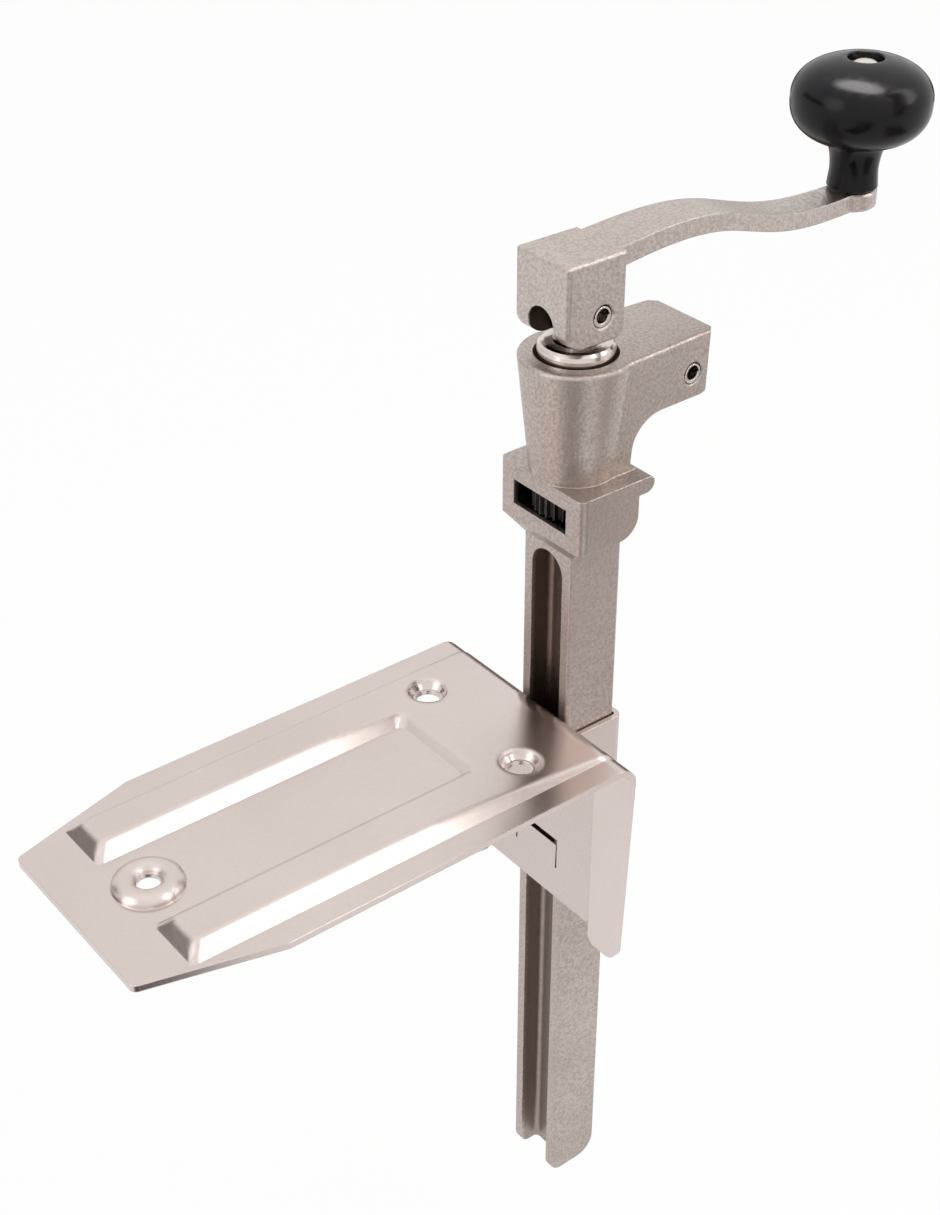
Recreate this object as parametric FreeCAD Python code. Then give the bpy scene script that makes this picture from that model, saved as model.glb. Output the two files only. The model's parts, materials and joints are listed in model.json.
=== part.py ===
import FreeCAD, Part
import math
import os

# Bench-mounted industrial can opener, in millimetres.
# The origin is midway between the two rear screw holes, on the table top.
# +Z is up, +X runs from the plate towards the bar, and Y runs across the plate.

# Base plate: one pressed sheet with a raised horseshoe and an apron at its rear
SHEET = 2.5
HOLES_TO_TIP = 161.8
HOLES_TO_TAPER = 113.0
TIP_HALF_WIDTH = 38.0
PLATE_HALF_WIDTH = 51.3
TIP_ROUND = 2.5
RELIEF_HEIGHT = 4.6
REAR_RELIEF_HEIGHT = 1.5
RELIEF_FALL_START = 45.0
FLANK_RUN = 4.8
RIB_FRONT = 142.7
RIB_OUTER_FRONT = 41.5
RIB_OUTER_REAR = 42.6
RIB_INNER = 18.0
PANEL_REAR = 18.7
RIB_CORNER_ROUND = 3.5
RIB_TOP_ROUND = 2.0
LEG_BEND = 8.0
RAISED_BEND = 9.7
LIP_DROP = 6.0
LEG_INNER = 32.0
LEG_DROP = 93.7
LEG_TAPER = 3.2
LEG_ROUND = 6.5

# Screw holes
REAR_HOLE_SPACING = 54.0
REAR_HOLE_RADIUS = 4.4
REAR_DIMPLE_RADIUS = 7.9
REAR_DIMPLE_SLOPE = 2.6
REAR_SEAT_RISE = 0.3
FRONT_HOLE_DISTANCE = 133.9
FRONT_HOLE_RADIUS = 4.0
FRONT_DIMPLE_RADIUS = 12.4
FRONT_DIMPLE_CREST = 8.2
FRONT_DIMPLE_RISE = 3.4
FRONT_SEAT_DEPTH = 2.2
HOLE_EDGE = 0.4
HOLE_WALL = 1.5
COUNTERSINK_KNEE = 0.62

# Guide for the bar, behind the apron
BAR_SETBACK = 33.3
FACE_GAP = 0.3
GUIDE_SHEET = 2.0
GUIDE_HALF_WIDTH = 31.5
GUIDE_DROP = 85.5
TAB_HALF_WIDTH = 11.4
TAB_BOTTOM = 71.0
TAB_WINDOW_HEIGHT = 14.0
TAB_TOP_GAP = 3.0
TAB_SIDE_CUT = 0.8
TAB_PRESS = 0.2
STRAP_SHEET = 2.0
STRAP_GAP = 0.5
STRAP_TOP = 8.0
STRAP_DROP = 83.0
STRAP_BEND = 3.0
FLANGE_HALF_WIDTH = 46.0

# Bar
BAR_HALF_WIDTH = 12.9
BAR_DEPTH = 23.1
BAR_DROP = 245.5
BAR_FRONT_ROUND = 5.0
BAR_BACK_ROUND = 9.0
BAR_EDGE_ROUND = 1.2
CHANNEL_HALF_WIDTH = 8.3
CHANNEL_DEPTH = 9.0
CHANNEL_TOP_GAP = 8.5

# Head: the block at the top of the bar
HEAD_TOP = 96.0
HEAD_HEIGHT = 21.5
HEAD_HALF_WIDTH = 21.8
HEAD_OVERHANG = 4.2
HEAD_BACK = 22.2
HEAD_EDGE_ROUND = 2.6
HEAD_HEEL_ROUND = 8.0
PARTING_SETBACK = 3.0
PARTING_GROOVE = 0.45
NECK_HEIGHT = 6.0
LIP_REACH = 29.0
LIP_THICK = 6.0
LIP_ROUND = 3.5
LIP_BEVEL = 1.5
WINDOW_HALF_WIDTH = 14.0
WINDOW_HEIGHT = 9.6

# Tube and strut above the head
ARBOR_SETBACK = 10.5
TUBE_BASE_RADIUS = 15.3
TUBE_TOP_RADIUS = 20.0
TUBE_TOP_ROUND = 1.2
CAST_TOP = 140.0
STRUT_REACH = 49.4
STRUT_ROOT_SHARE = 0.95
STRUT_DRAFT = 0.03
STRUT_HALF_WIDTH = 16.2
STRUT_DEPTH = 23.7
STRUT_END_ROUND = 6.0
STRUT_SIDE_ROUND = 3.0
THROAT_RADIUS = 12.0
THROAT_SETBACK = 13.2
THROAT_FOOT_ROUND = 3.5
KNIFE_PIN_INSET = 9.7
KNIFE_PIN_DROP = 14.5

# Arbor and its bearings
SHAFT_RADIUS = 8.0
BEARING_GAP = 0.05
BUSH_RADIUS = 10.0
PRESS_GAP = 0.02
UPPER_BUSH_LENGTH = 20.0
LOWER_BUSH_LENGTH = 16.0
COLLAR_RADIUS = 10.4
COLLAR_HEIGHT = 1.5
RECESS_GAP = 1.2
RECESS_DEPTH = 8.0
WASHER_THICK = 1.5
TONGUE_HALF_WIDTH = 6.1
TONGUE_RADIUS = 6.4
SPIGOT_HALF_WIDTH = 5.0
SPIGOT_GAP = 0.05

# Sprung ring under the crank, which the hub presses down when it tilts
RING_RADIUS = 13.4
RING_RISE = 4.4
RING_ROUND = 2.6
RING_TRAVEL = 3.4
RING_STOP_GAP = 0.2
RING_WIRE = 0.8
RING_TURNS = 1.5

# Drive gear
GEAR_TIP_RADIUS = 13.7
GEAR_ROOT_RADIUS = 12.2
GEAR_TEETH = 26
GEAR_THICK = 7.0
GEAR_GAP = 0.9
GEAR_FLOOR_GAP = 1.0
GEAR_PIN_RADIUS = 1.5

# Crank
PIN_ABOVE_RING = 12.5
CRANK_TILT = 60.0
CRANK_PIN_RADIUS = 3.95
PIN_WALL = 1.4
PIN_SLOT = 1.2
PIN_END_INSET = 0.4
PIN_HOLE_CHAMFER = 0.7
HUB_HALF_WIDTH = 13.0
HUB_FRONT = 15.8
HUB_REAR = 9.4
HUB_ABOVE_PIN = 20.5
HUB_BELOW_PIN = 9.5
HUB_CORNER_ROUND = 8.0
HUB_EDGE_BEVEL = 0.7
SLOT_HALF_WIDTH = 6.5
SLOT_CLEARANCE = 0.5
MOUTH_DROP = 3.0
CRANK_THROW = 129.5
ARM_ROOT_WIDTH = 20.0
ARM_TIP_WIDTH = 12.0
ARM_ROOT_THICK = 6.8
ARM_TIP_THICK = 6.2
ARM_RISE = 1.7
ARM_DROP = 11.0
ARM_SINK = 0.2
ARM_ROOT_SINK = 2.0
BOSS_RADIUS = 9.2
BOSS_THICK = 6.6
BOSS_BEVEL = 0.8

# The arm's upper line: share of its reach, and share of its rise or of its drop
ARM_SHAPE = (
    (0.0, 0.0),
    (0.14, 0.85),
    (0.27, 1.0),
    (0.42, -0.055),
    (0.56, -0.51),
    (0.7, -0.873),
    (0.84, -1.0),
    (1.0, -0.964),
)

# Knob and the stud that it turns on
KNOB_GAP = 0.4
KNOB_RADIUS = 25.0
KNOB_HEIGHT = 46.5
KNOB_NECK_RADIUS = 9.2
KNOB_WAIST_RADIUS = 8.7
KNOB_WAIST_HEIGHT = 6.0
KNOB_FLARE_RADIUS = 12.1
KNOB_FLARE_HEIGHT = 17.0
KNOB_EQUATOR = 32.0
KNOB_UPPER_FULLNESS = 2.3
KNOB_LOWER_FULLNESS = 2.5
KNOB_UPPER_STEPS = 6
KNOB_LOWER_STEPS = 4
KNOB_MOUTH_RADIUS = 6.4
KNOB_MOUTH_DEPTH = 5.0
KNOB_EDGE = 0.6
STUD_RADIUS = 4.0
STUD_HEAD_RADIUS = 5.6
STUD_HEAD_HEIGHT = 2.6
STUD_RIVET_WIDTH = 1.0
STUD_RIVET_HEIGHT = 1.2
SLEEVE_WALL = 1.5

# Knife, its pivot pin and its spring
KNIFE_THICK = 8.0
KNIFE_SIDE_GAP = 0.4
KNIFE_BOSS_RADIUS = 7.4
KNIFE_ROOF_GAP = 0.7
RIM_GAP = 1.6
LEVER_WIDTH = 4.4
LEVER_KNEE_DROP = 10.5
LEVER_NOSE_RUN = 9.0
LEVER_NOSE_RISE = 2.0
LEVER_ELBOW_RUN = 8.5
LEVER_ELBOW_DROP = 12.0
LEVER_BACK_DROP = 21.0
GROOVE_GAP = 0.7
GROOVE_KNEE_DROP = 8.0
GROOVE_RUN = 10.0
BLADE_HALF_WIDTH = 9.0
BLADE_THICK = 3.5
BLADE_LENGTH = 21.0
BLADE_BEVEL = 1.8
BLADE_TOP_GAP = 1.2
BLADE_SHOULDER = 8.0
BLADE_POINT = 1.5
BEVEL_RISE = 9.0
SPRING_WIRE = 1.2
SPRING_GAP = 0.5
SPRING_TURNS = 2
SPRING_LENGTH = 4.0

# Springs are drawn with this many straight runs a turn and flats on the wire
COIL_STEPS = 16
WIRE_SIDES = 6

# Places worked out from the sizes above
BAR_FRONT = BAR_SETBACK
BAR_BACK = BAR_FRONT + BAR_DEPTH
APRON_X = BAR_FRONT - FACE_GAP
BEND_START = APRON_X - RAISED_BEND - 1.0
REAR_TOP = SHEET + REAR_RELIEF_HEIGHT
ARBOR_X = BAR_FRONT + ARBOR_SETBACK
HEAD_FRONT = BAR_FRONT - HEAD_OVERHANG
HEAD_REAR = BAR_FRONT + HEAD_BACK
HEAD_FLOOR = HEAD_TOP - HEAD_HEIGHT
LIP_UNDER = HEAD_TOP - LIP_THICK
GEAR_BAY_FLOOR = LIP_UNDER - WINDOW_HEIGHT
GEAR_BOTTOM = GEAR_BAY_FLOOR + GEAR_FLOOR_GAP
GEAR_MIDDLE = GEAR_BOTTOM + GEAR_THICK / 2
STRUT_END = ARBOR_X + STRUT_REACH
RECESS_FLOOR = CAST_TOP - RECESS_DEPTH
COLLAR_BASE = RECESS_FLOOR + WASHER_THICK
COLLAR_TOP = COLLAR_BASE + COLLAR_HEIGHT
RING_BASE = COLLAR_TOP + RING_TRAVEL + RING_STOP_GAP
RING_TOP = CAST_TOP + RING_RISE
SHAFT_TOP = RING_TOP - RING_TRAVEL
CRANK_PIN_Z = RING_TOP + PIN_ABOVE_RING
HUB_TOP = CRANK_PIN_Z + HUB_ABOVE_PIN
HUB_BOTTOM = CRANK_PIN_Z - HUB_BELOW_PIN
HUB_BACK_X = ARBOR_X + HUB_REAR
KNOB_X = ARBOR_X + CRANK_THROW
BOSS_TOP = HUB_TOP - ARM_DROP
BOSS_BOTTOM = BOSS_TOP - BOSS_THICK
KNOB_BASE = BOSS_TOP + KNOB_GAP
KNOB_TOP = KNOB_BASE + KNOB_HEIGHT
KNIFE_PIN_X = STRUT_END - KNIFE_PIN_INSET
KNIFE_PIN_Z = CAST_TOP - KNIFE_PIN_DROP
KNIFE_FACE_X = ARBOR_X + GEAR_TIP_RADIUS + RIM_GAP
GROOVE_X = KNIFE_FACE_X - GROOVE_GAP
BLADE_TOP = LIP_UNDER - BLADE_TOP_GAP
SLOT_ROOF = KNIFE_PIN_Z + KNIFE_BOSS_RADIUS + KNIFE_ROOF_GAP
SPRING_START = (KNIFE_THICK + SPRING_GAP) / 2
SPRING_END = SPRING_START + SPRING_LENGTH


def vec(x, y, z):
    return FreeCAD.Vector(x, y, z)


X_AXIS = vec(1, 0, 0)
Y_AXIS = vec(0, 1, 0)
Z_AXIS = vec(0, 0, 1)


def in_xy(z):
    """Plane of a profile drawn in plan at height z."""
    return lambda u, v: vec(u, v, z)


def in_xz(y):
    """Plane of a profile drawn from the side at depth y."""
    return lambda u, v: vec(u, y, v)


def in_yz(x):
    """Plane of a profile drawn from the front at distance x."""
    return lambda u, v: vec(x, u, v)


class Outline:
    """A closed profile of straight runs and arcs in one plane."""

    def __init__(self, plane, u, v):
        self.plane = plane
        self.first = plane(u, v)
        self.last = self.first
        self.edges = []

    def line(self, u, v):
        point = self.plane(u, v)
        self.edges.append(Part.LineSegment(self.last, point).toShape())
        self.last = point
        return self

    def arc(self, middle_u, middle_v, u, v):
        point = self.plane(u, v)
        middle = self.plane(middle_u, middle_v)
        self.edges.append(Part.Arc(self.last, middle, point).toShape())
        self.last = point
        return self

    def turn(self, centre_u, centre_v, radius, start_deg, end_deg):
        """An arc about a centre, from one angle to another, in degrees."""
        middle = math.radians((start_deg + end_deg) / 2)
        end = math.radians(end_deg)
        return self.arc(
            centre_u + radius * math.cos(middle),
            centre_v + radius * math.sin(middle),
            centre_u + radius * math.cos(end),
            centre_v + radius * math.sin(end),
        )

    def chords(self, centre_u, centre_v, half_u, half_v, start_deg, end_deg, steps):
        """An elliptic arc as short straight runs, which turn into plain cones."""
        for step in range(1, steps + 1):
            angle = math.radians(start_deg + (end_deg - start_deg) * step / steps)
            self.line(
                centre_u + half_u * math.cos(angle), centre_v + half_v * math.sin(angle)
            )
        return self

    def through(self, points):
        """Straight runs through the given points."""
        for u, v in points:
            self.line(u, v)
        return self

    def spline(self, points):
        """A smooth curve from the last point through the given ones."""
        curve = Part.BSplineCurve()
        curve.interpolate([self.last] + [self.plane(u, v) for u, v in points])
        self.edges.append(curve.toShape())
        self.last = self.plane(*points[-1])
        return self

    def wire(self):
        edges = list(self.edges)
        if self.last.distanceToPoint(self.first) > 1e-6:
            edges.append(Part.LineSegment(self.last, self.first).toShape())
        return Part.Wire(edges)

    def face(self):
        return Part.Face(self.wire())


def polygon(plane, points):
    return Outline(plane, *points[0]).through(points[1:])


def mirrored(points):
    """Points of one half of a plan outline followed by their mirror images."""
    return points + [(u, -v) for u, v in reversed(points)]


def mirrored_across(points):
    """Points of one half of a front outline followed by their mirror images."""
    return points + [(-u, v) for u, v in reversed(points)]


def block(x0, x1, y0, y1, z0, z1):
    return Part.makeBox(x1 - x0, y1 - y0, z1 - z0, vec(x0, y0, z0))


def post(radius, x, y, z0, z1):
    """An upright cylinder."""
    return Part.makeCylinder(radius, z1 - z0, vec(x, y, z0))


def cross_rod(radius, x, z, half_length):
    """A cylinder across the object, centred on its middle plane."""
    return Part.makeCylinder(radius, 2 * half_length, vec(x, -half_length, z), Y_AXIS)


def turned(outline, x, y=0.0):
    """The profile turned all the way round an upright axis."""
    return outline.face().revolve(vec(x, y, 0), Z_AXIS, 360)


def spread(outline, half_width):
    """A side profile made solid to both sides of the middle plane."""
    return outline.face().extrude(vec(0, 2 * half_width, 0))


def coil(radius, wire, height, turns):
    """A spring of round wire about the upright axis, from height 0 upwards."""
    rise = height - wire
    steps = round(turns * COIL_STEPS)
    sections = []
    for step in range(steps + 1):
        turn = 2 * math.pi * turns * step / steps
        corners = []
        for corner in range(WIRE_SIDES):
            angle = 2 * math.pi * (corner + 0.5) / WIRE_SIDES
            reach = radius + wire / 2 * math.cos(angle)
            z = wire / 2 * (1 + math.sin(angle)) + rise * step / steps
            corners.append(vec(reach * math.cos(turn), reach * math.sin(turn), z))
        sections.append(Part.makePolygon(corners + [corners[0]]))
    return Part.makeLoft(sections, True, True)


def side_grooves(x, half_width, z0, z1):
    """A fine V-groove down each side face, behind its front edge."""
    grooves = []
    for side in (-1, 1):
        outside = side * (half_width + PARTING_GROOVE)
        inside = side * (half_width - PARTING_GROOVE)
        reach = 2 * PARTING_GROOVE
        section = polygon(
            in_xy(z0), [(x - reach, outside), (x + reach, outside), (x, inside)]
        )
        grooves.append(section.face().extrude(vec(0, 0, z1 - z0)))
    return grooves


def edges_where(shape, test):
    return [edge for edge in shape.Edges if test(edge.BoundBox, edge)]


def is_upright(box):
    return box.XLength < 1e-4 and box.YLength < 1e-4


def flank_inset():
    """How far the underside of a pressed flank stands inside its top side."""
    return SHEET * math.tan(math.atan2(RELIEF_HEIGHT, FLANK_RUN) / 2)


def relief_wire(z, run):
    """One level of the raised horseshoe, drawn in by the run of its flanks."""
    front = -RIB_FRONT + run
    half = [
        (-PANEL_REAR + run, RIB_INNER + run),
        (front, RIB_INNER + run),
        (front, RIB_OUTER_FRONT - run),
        (BEND_START, RIB_OUTER_REAR - run),
    ]
    return polygon(in_xy(z), mirrored(half)).wire()


def above_relief(foot_z):
    """Space above the raised area, whose top falls towards the apron."""
    high = foot_z + RELIEF_HEIGHT
    outline = Outline(in_xz(-PLATE_HALF_WIDTH), -RELIEF_FALL_START, high)
    outline.line(BEND_START, foot_z + REAR_RELIEF_HEIGHT)
    outline.line(BEND_START, high + 1)
    outline.line(-RELIEF_FALL_START, high + 1)
    return spread(outline, PLATE_HALF_WIDTH)


def relief(foot_z, inset):
    """The raised horseshoe as a block with sloping flanks."""
    foot = relief_wire(foot_z, inset)
    top = relief_wire(foot_z + RELIEF_HEIGHT, inset + FLANK_RUN)
    return Part.makeLoft([foot, top], True, True).cut(above_relief(foot_z))


def rounded_relief():
    """The outside of the raised horseshoe, with soft corners and top edges."""
    body = relief(SHEET, 0.0)
    corners = edges_where(
        body,
        lambda box, edge: box.ZMin < SHEET + 1e-3
        and box.ZLength > 1
        and box.XMax < BEND_START - 0.5,
    )
    body = body.makeFillet(RIB_CORNER_ROUND, corners)
    rims = edges_where(
        body,
        lambda box, edge: box.ZMin > REAR_TOP - 1e-3
        and box.XMin < BEND_START - 0.5
        and not (box.XLength < 1e-3 and abs(box.XMin + RELIEF_FALL_START) < 1e-3),
    )
    return body.makeFillet(RIB_TOP_ROUND, rims)


def apron_section(top, bend, y):
    """Side profile of the sheet where it bends down behind the plate."""
    inner = APRON_X - SHEET
    centre_x = APRON_X - bend
    centre_z = top - bend
    outline = Outline(in_xz(y), BEND_START, top)
    outline.line(centre_x, top)
    outline.turn(centre_x, centre_z, bend, 90, 0)
    outline.line(APRON_X, -LIP_DROP)
    outline.line(inner, -LIP_DROP)
    outline.line(inner, centre_z)
    outline.turn(centre_x, centre_z, bend - SHEET, 0, 90)
    outline.line(BEND_START, top - SHEET)
    return outline


def apron():
    """The bent-down rear of the sheet: raised middle, flanks and outer strips."""
    middle = RIB_OUTER_REAR - FLANK_RUN * REAR_RELIEF_HEIGHT / RELIEF_HEIGHT
    pieces = [
        apron_section(REAR_TOP, RAISED_BEND, -middle)
        .face()
        .extrude(vec(0, 2 * middle, 0))
    ]
    strip = PLATE_HALF_WIDTH - RIB_OUTER_REAR
    for side in (-1, 1):
        high = apron_section(REAR_TOP, RAISED_BEND, side * middle)
        low = apron_section(SHEET, LEG_BEND, side * RIB_OUTER_REAR)
        pieces.append(Part.makeLoft([high.wire(), low.wire()], True, True))
        pieces.append(low.face().extrude(vec(0, side * strip, 0)))
    return pieces


def leg(side):
    """One leg of the apron, which bears on the edge of the table."""
    foot = -LEG_DROP
    outer = PLATE_HALF_WIDTH
    low_outer = outer - LEG_TAPER
    plane = in_yz(APRON_X - SHEET)
    outline = Outline(plane, side * LEG_INNER, -LIP_DROP)
    outline.line(side * outer, -LIP_DROP)
    outline.line(side * low_outer, foot + LEG_ROUND)
    diagonal = LEG_ROUND * (1 - math.sqrt(0.5))
    outline.arc(
        side * (low_outer - diagonal),
        foot + diagonal,
        side * (low_outer - LEG_ROUND),
        foot,
    )
    outline.line(side * (LEG_INNER + SHEET), foot)
    outline.line(side * LEG_INNER, foot + SHEET)
    return outline.face().extrude(vec(SHEET, 0, 0))


def rear_dimple(y):
    """A countersunk cup pressed down from the raised area to the table."""
    floor_radius = REAR_DIMPLE_RADIUS - REAR_DIMPLE_SLOPE
    top = SHEET + RELIEF_HEIGHT
    wall = flank_inset()
    cup = Outline(in_xz(y), 0.0, 0.0)
    cup.line(floor_radius + wall, 0.0)
    cup.line(REAR_DIMPLE_RADIUS + wall, RELIEF_HEIGHT - SHEET / 2)
    cup.line(REAR_DIMPLE_RADIUS + wall, top)
    cup.line(0.0, top)
    seat = SHEET + REAR_SEAT_RISE - 1.0
    bowl = Outline(in_xz(y), 0.0, seat)
    bowl.line(floor_radius, seat)
    knee = floor_radius + COUNTERSINK_KNEE * REAR_DIMPLE_SLOPE
    bowl.line(knee, seat + (1 - COUNTERSINK_KNEE) * RELIEF_HEIGHT)
    bowl.line(REAR_DIMPLE_RADIUS, top - 1.0)
    bowl.line(REAR_DIMPLE_RADIUS + 1, top)
    bowl.line(0.0, top)
    hole = post(REAR_HOLE_RADIUS, 0.0, y, -1, top)
    return turned(cup, 0.0, y).cut(above_relief(SHEET)), turned(bowl, 0.0, y).fuse(hole)


def front_dimple():
    """A domed ring round the front screw hole."""
    x = -FRONT_HOLE_DISTANCE
    middle = x + FRONT_DIMPLE_CREST
    hole = x + FRONT_HOLE_RADIUS
    crest = SHEET + FRONT_DIMPLE_RISE
    seat = crest - FRONT_SEAT_DEPTH
    outer_run = FRONT_DIMPLE_RADIUS - FRONT_DIMPLE_CREST
    inner_run = middle - hole - HOLE_EDGE
    under = crest - SHEET + HOLE_EDGE
    ring = Outline(in_xz(0.0), x + FRONT_DIMPLE_RADIUS, 0.0)
    ring.line(x + FRONT_DIMPLE_RADIUS, SHEET)
    ring.chords(middle, SHEET, outer_run, FRONT_DIMPLE_RISE, 0, 90, 3)
    ring.chords(middle, seat, inner_run, FRONT_SEAT_DEPTH, 90, 180, 3)
    ring.line(hole, seat - HOLE_EDGE)
    ring.line(hole, seat - HOLE_EDGE - HOLE_WALL)
    ring.line(middle - inner_run / 2, under)
    ring.line(middle + outer_run / 4, under)
    ring.line(middle + outer_run * 3 / 4, 0.0)
    return turned(ring, x), post(FRONT_DIMPLE_RADIUS, x, 0, -1, crest + 1)


def base_plate():
    half = [
        (BEND_START, PLATE_HALF_WIDTH),
        (-HOLES_TO_TAPER, PLATE_HALF_WIDTH),
        (-HOLES_TO_TIP, TIP_HALF_WIDTH),
    ]
    slab = polygon(in_xy(0.0), mirrored(half)).face().extrude(vec(0, 0, SHEET))
    tips = edges_where(
        slab, lambda box, edge: is_upright(box) and box.XMax < -HOLES_TO_TAPER - 1
    )
    slab = slab.makeFillet(TIP_ROUND, tips)
    sheet = slab.fuse(rounded_relief()).cut(relief(0.0, flank_inset()))
    sheet = sheet.fuse(apron() + [leg(-1), leg(1)])
    for side in (-1, 1):
        cup, bowl = rear_dimple(side * REAR_HOLE_SPACING / 2)
        sheet = sheet.fuse(cup).cut(bowl)
    ring, disc = front_dimple()
    return sheet.cut(disc).fuse(ring).removeSplitter()


def guide_plate():
    """Front plate of the bar's guide, with a sprung tab that bears on the bar."""
    front = APRON_X - GUIDE_SHEET
    half = GUIDE_HALF_WIDTH
    plate = block(front, APRON_X, -half, half, -GUIDE_DROP, -LIP_DROP - FACE_GAP)
    window_top = -TAB_BOTTOM + TAB_WINDOW_HEIGHT
    reach = TAB_HALF_WIDTH + TAB_SIDE_CUT
    window = block(front - 1, APRON_X + 1, -reach, reach, -TAB_BOTTOM, window_top)
    tab_top = window_top - TAB_TOP_GAP
    tab = block(
        front, APRON_X, -TAB_HALF_WIDTH, TAB_HALF_WIDTH, -TAB_BOTTOM - 1, tab_top
    )
    lean = math.degrees(math.asin(TAB_PRESS / (tab_top + TAB_BOTTOM)))
    tab.rotate(vec(front, 0, -TAB_BOTTOM), Y_AXIS, lean)
    corners = edges_where(
        plate, lambda box, edge: box.YLength < 1e-4 and box.ZMax < -GUIDE_DROP + 1e-3
    )
    plate = plate.makeFillet(GUIDE_SHEET, corners)
    return plate.cut(window).fuse(tab).removeSplitter()


def guide_strap():
    """Folded strap round the back of the bar, with flanges on the apron."""
    inner_side = BAR_HALF_WIDTH + STRAP_GAP
    outer_side = inner_side + STRAP_SHEET
    inner_back = BAR_BACK + STRAP_GAP
    outer_back = inner_back + STRAP_SHEET
    flange_back = APRON_X + STRAP_SHEET
    half = [
        (APRON_X, inner_side),
        (APRON_X, FLANGE_HALF_WIDTH),
        (flange_back, FLANGE_HALF_WIDTH),
        (flange_back, outer_side),
        (outer_back, outer_side),
    ]
    outer = polygon(in_xy(-STRAP_DROP), mirrored(half)).face()
    height = STRAP_DROP - STRAP_TOP
    strap = outer.extrude(vec(0, 0, height))
    bends = edges_where(
        strap,
        lambda box, edge: is_upright(box)
        and abs(abs(box.YMin) - outer_side) < 1e-3
        and box.XMin > APRON_X + 1,
    )
    strap = strap.makeFillet(STRAP_BEND, bends)
    bay = block(
        APRON_X - 1, inner_back, -inner_side, inner_side, -STRAP_DROP - 1, -STRAP_TOP + 1
    )
    bay_edges = edges_where(
        bay, lambda box, edge: is_upright(box) and box.XMin > BAR_BACK
    )
    bay = bay.makeFillet(STRAP_BEND - STRAP_SHEET, bay_edges)
    return strap.cut(bay)


def bar_stick():
    """The plain bar, with its rounded lower end and its open channel."""
    foot = -BAR_DROP
    front = BAR_FRONT_ROUND
    back = BAR_BACK_ROUND
    outline = Outline(in_xz(-BAR_HALF_WIDTH), BAR_FRONT, HEAD_TOP - 1)
    outline.line(BAR_FRONT, foot + front)
    outline.turn(BAR_FRONT + front, foot + front, front, 180, 270)
    outline.line(BAR_BACK - back, foot)
    outline.turn(BAR_BACK - back, foot + back, back, 270, 360)
    outline.line(BAR_BACK, HEAD_TOP - 1)
    bar = spread(outline, BAR_HALF_WIDTH)
    long_edges = edges_where(bar, lambda box, edge: is_upright(box))
    return bar.makeFillet(BAR_EDGE_ROUND, long_edges)


def channel():
    """Space of the channel in the front of the bar, with a round top."""
    top = HEAD_FLOOR - CHANNEL_TOP_GAP
    half = CHANNEL_HALF_WIDTH
    outline = Outline(in_yz(BAR_FRONT - 5), -half, -BAR_DROP - 5)
    outline.line(-half, top - half)
    outline.turn(0.0, top - half, half, 180, 0)
    outline.line(half, -BAR_DROP - 5)
    space = outline.face().extrude(vec(CHANNEL_DEPTH + 5, 0, 0))
    floor_edges = edges_where(
        space,
        lambda box, edge: box.XMin > BAR_FRONT + CHANNEL_DEPTH - 1e-3
        and box.ZMax > -BAR_DROP - 4,
    )
    return space.makeFillet(CHANNEL_HALF_WIDTH / 4, floor_edges)


def head_block():
    """The block at the top of the bar, with its heel and the neck below it."""
    half = HEAD_HALF_WIDTH
    heel = HEAD_HEEL_ROUND
    outline = Outline(in_xz(-half), HEAD_FRONT, HEAD_FLOOR)
    outline.line(HEAD_FRONT, HEAD_TOP)
    outline.line(HEAD_REAR, HEAD_TOP)
    outline.line(HEAD_REAR, HEAD_FLOOR + heel)
    outline.turn(HEAD_REAR - heel, HEAD_FLOOR + heel, heel, 0, -90)
    head = spread(outline, half)
    front_edges = edges_where(
        head, lambda box, edge: is_upright(box) and box.XMax < HEAD_FRONT + 1e-3
    )
    head = head.makeFillet(HEAD_EDGE_ROUND, front_edges)
    wide = HEAD_HALF_WIDTH - HEAD_EDGE_ROUND
    deep = BAR_BACK - BAR_EDGE_ROUND - 2
    upper = [(HEAD_FRONT, wide), (deep, wide)]
    lower = [(BAR_FRONT, BAR_HALF_WIDTH), (deep, BAR_HALF_WIDTH)]
    neck = Part.makeLoft(
        [
            polygon(in_xy(HEAD_FLOOR), mirrored(upper)).wire(),
            polygon(in_xy(HEAD_FLOOR - NECK_HEIGHT), mirrored(lower)).wire(),
        ],
        True,
        True,
    )
    grooves = side_grooves(
        HEAD_FRONT + PARTING_SETBACK, half, HEAD_FLOOR - 1, HEAD_TOP + 1
    )
    return head.cut(grooves).fuse(neck)


def head_lip():
    """The top plate of the head, which overhangs the back as a rim rest."""
    end = BAR_FRONT + LIP_REACH
    outline = Outline(in_xz(-HEAD_HALF_WIDTH), ARBOR_X, LIP_UNDER)
    outline.line(ARBOR_X, HEAD_TOP)
    outline.line(end - LIP_BEVEL, HEAD_TOP)
    outline.line(end, HEAD_TOP - LIP_BEVEL)
    outline.line(end, LIP_UNDER + LIP_ROUND)
    outline.turn(end - LIP_ROUND, LIP_UNDER + LIP_ROUND, LIP_ROUND, 0, -90)
    return spread(outline, HEAD_HALF_WIDTH)


def tube_radius(z):
    """Outside of the tapered tube at height z."""
    share = (z - HEAD_TOP) / (CAST_TOP - HEAD_TOP)
    return TUBE_BASE_RADIUS + share * (TUBE_TOP_RADIUS - TUBE_BASE_RADIUS)


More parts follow.
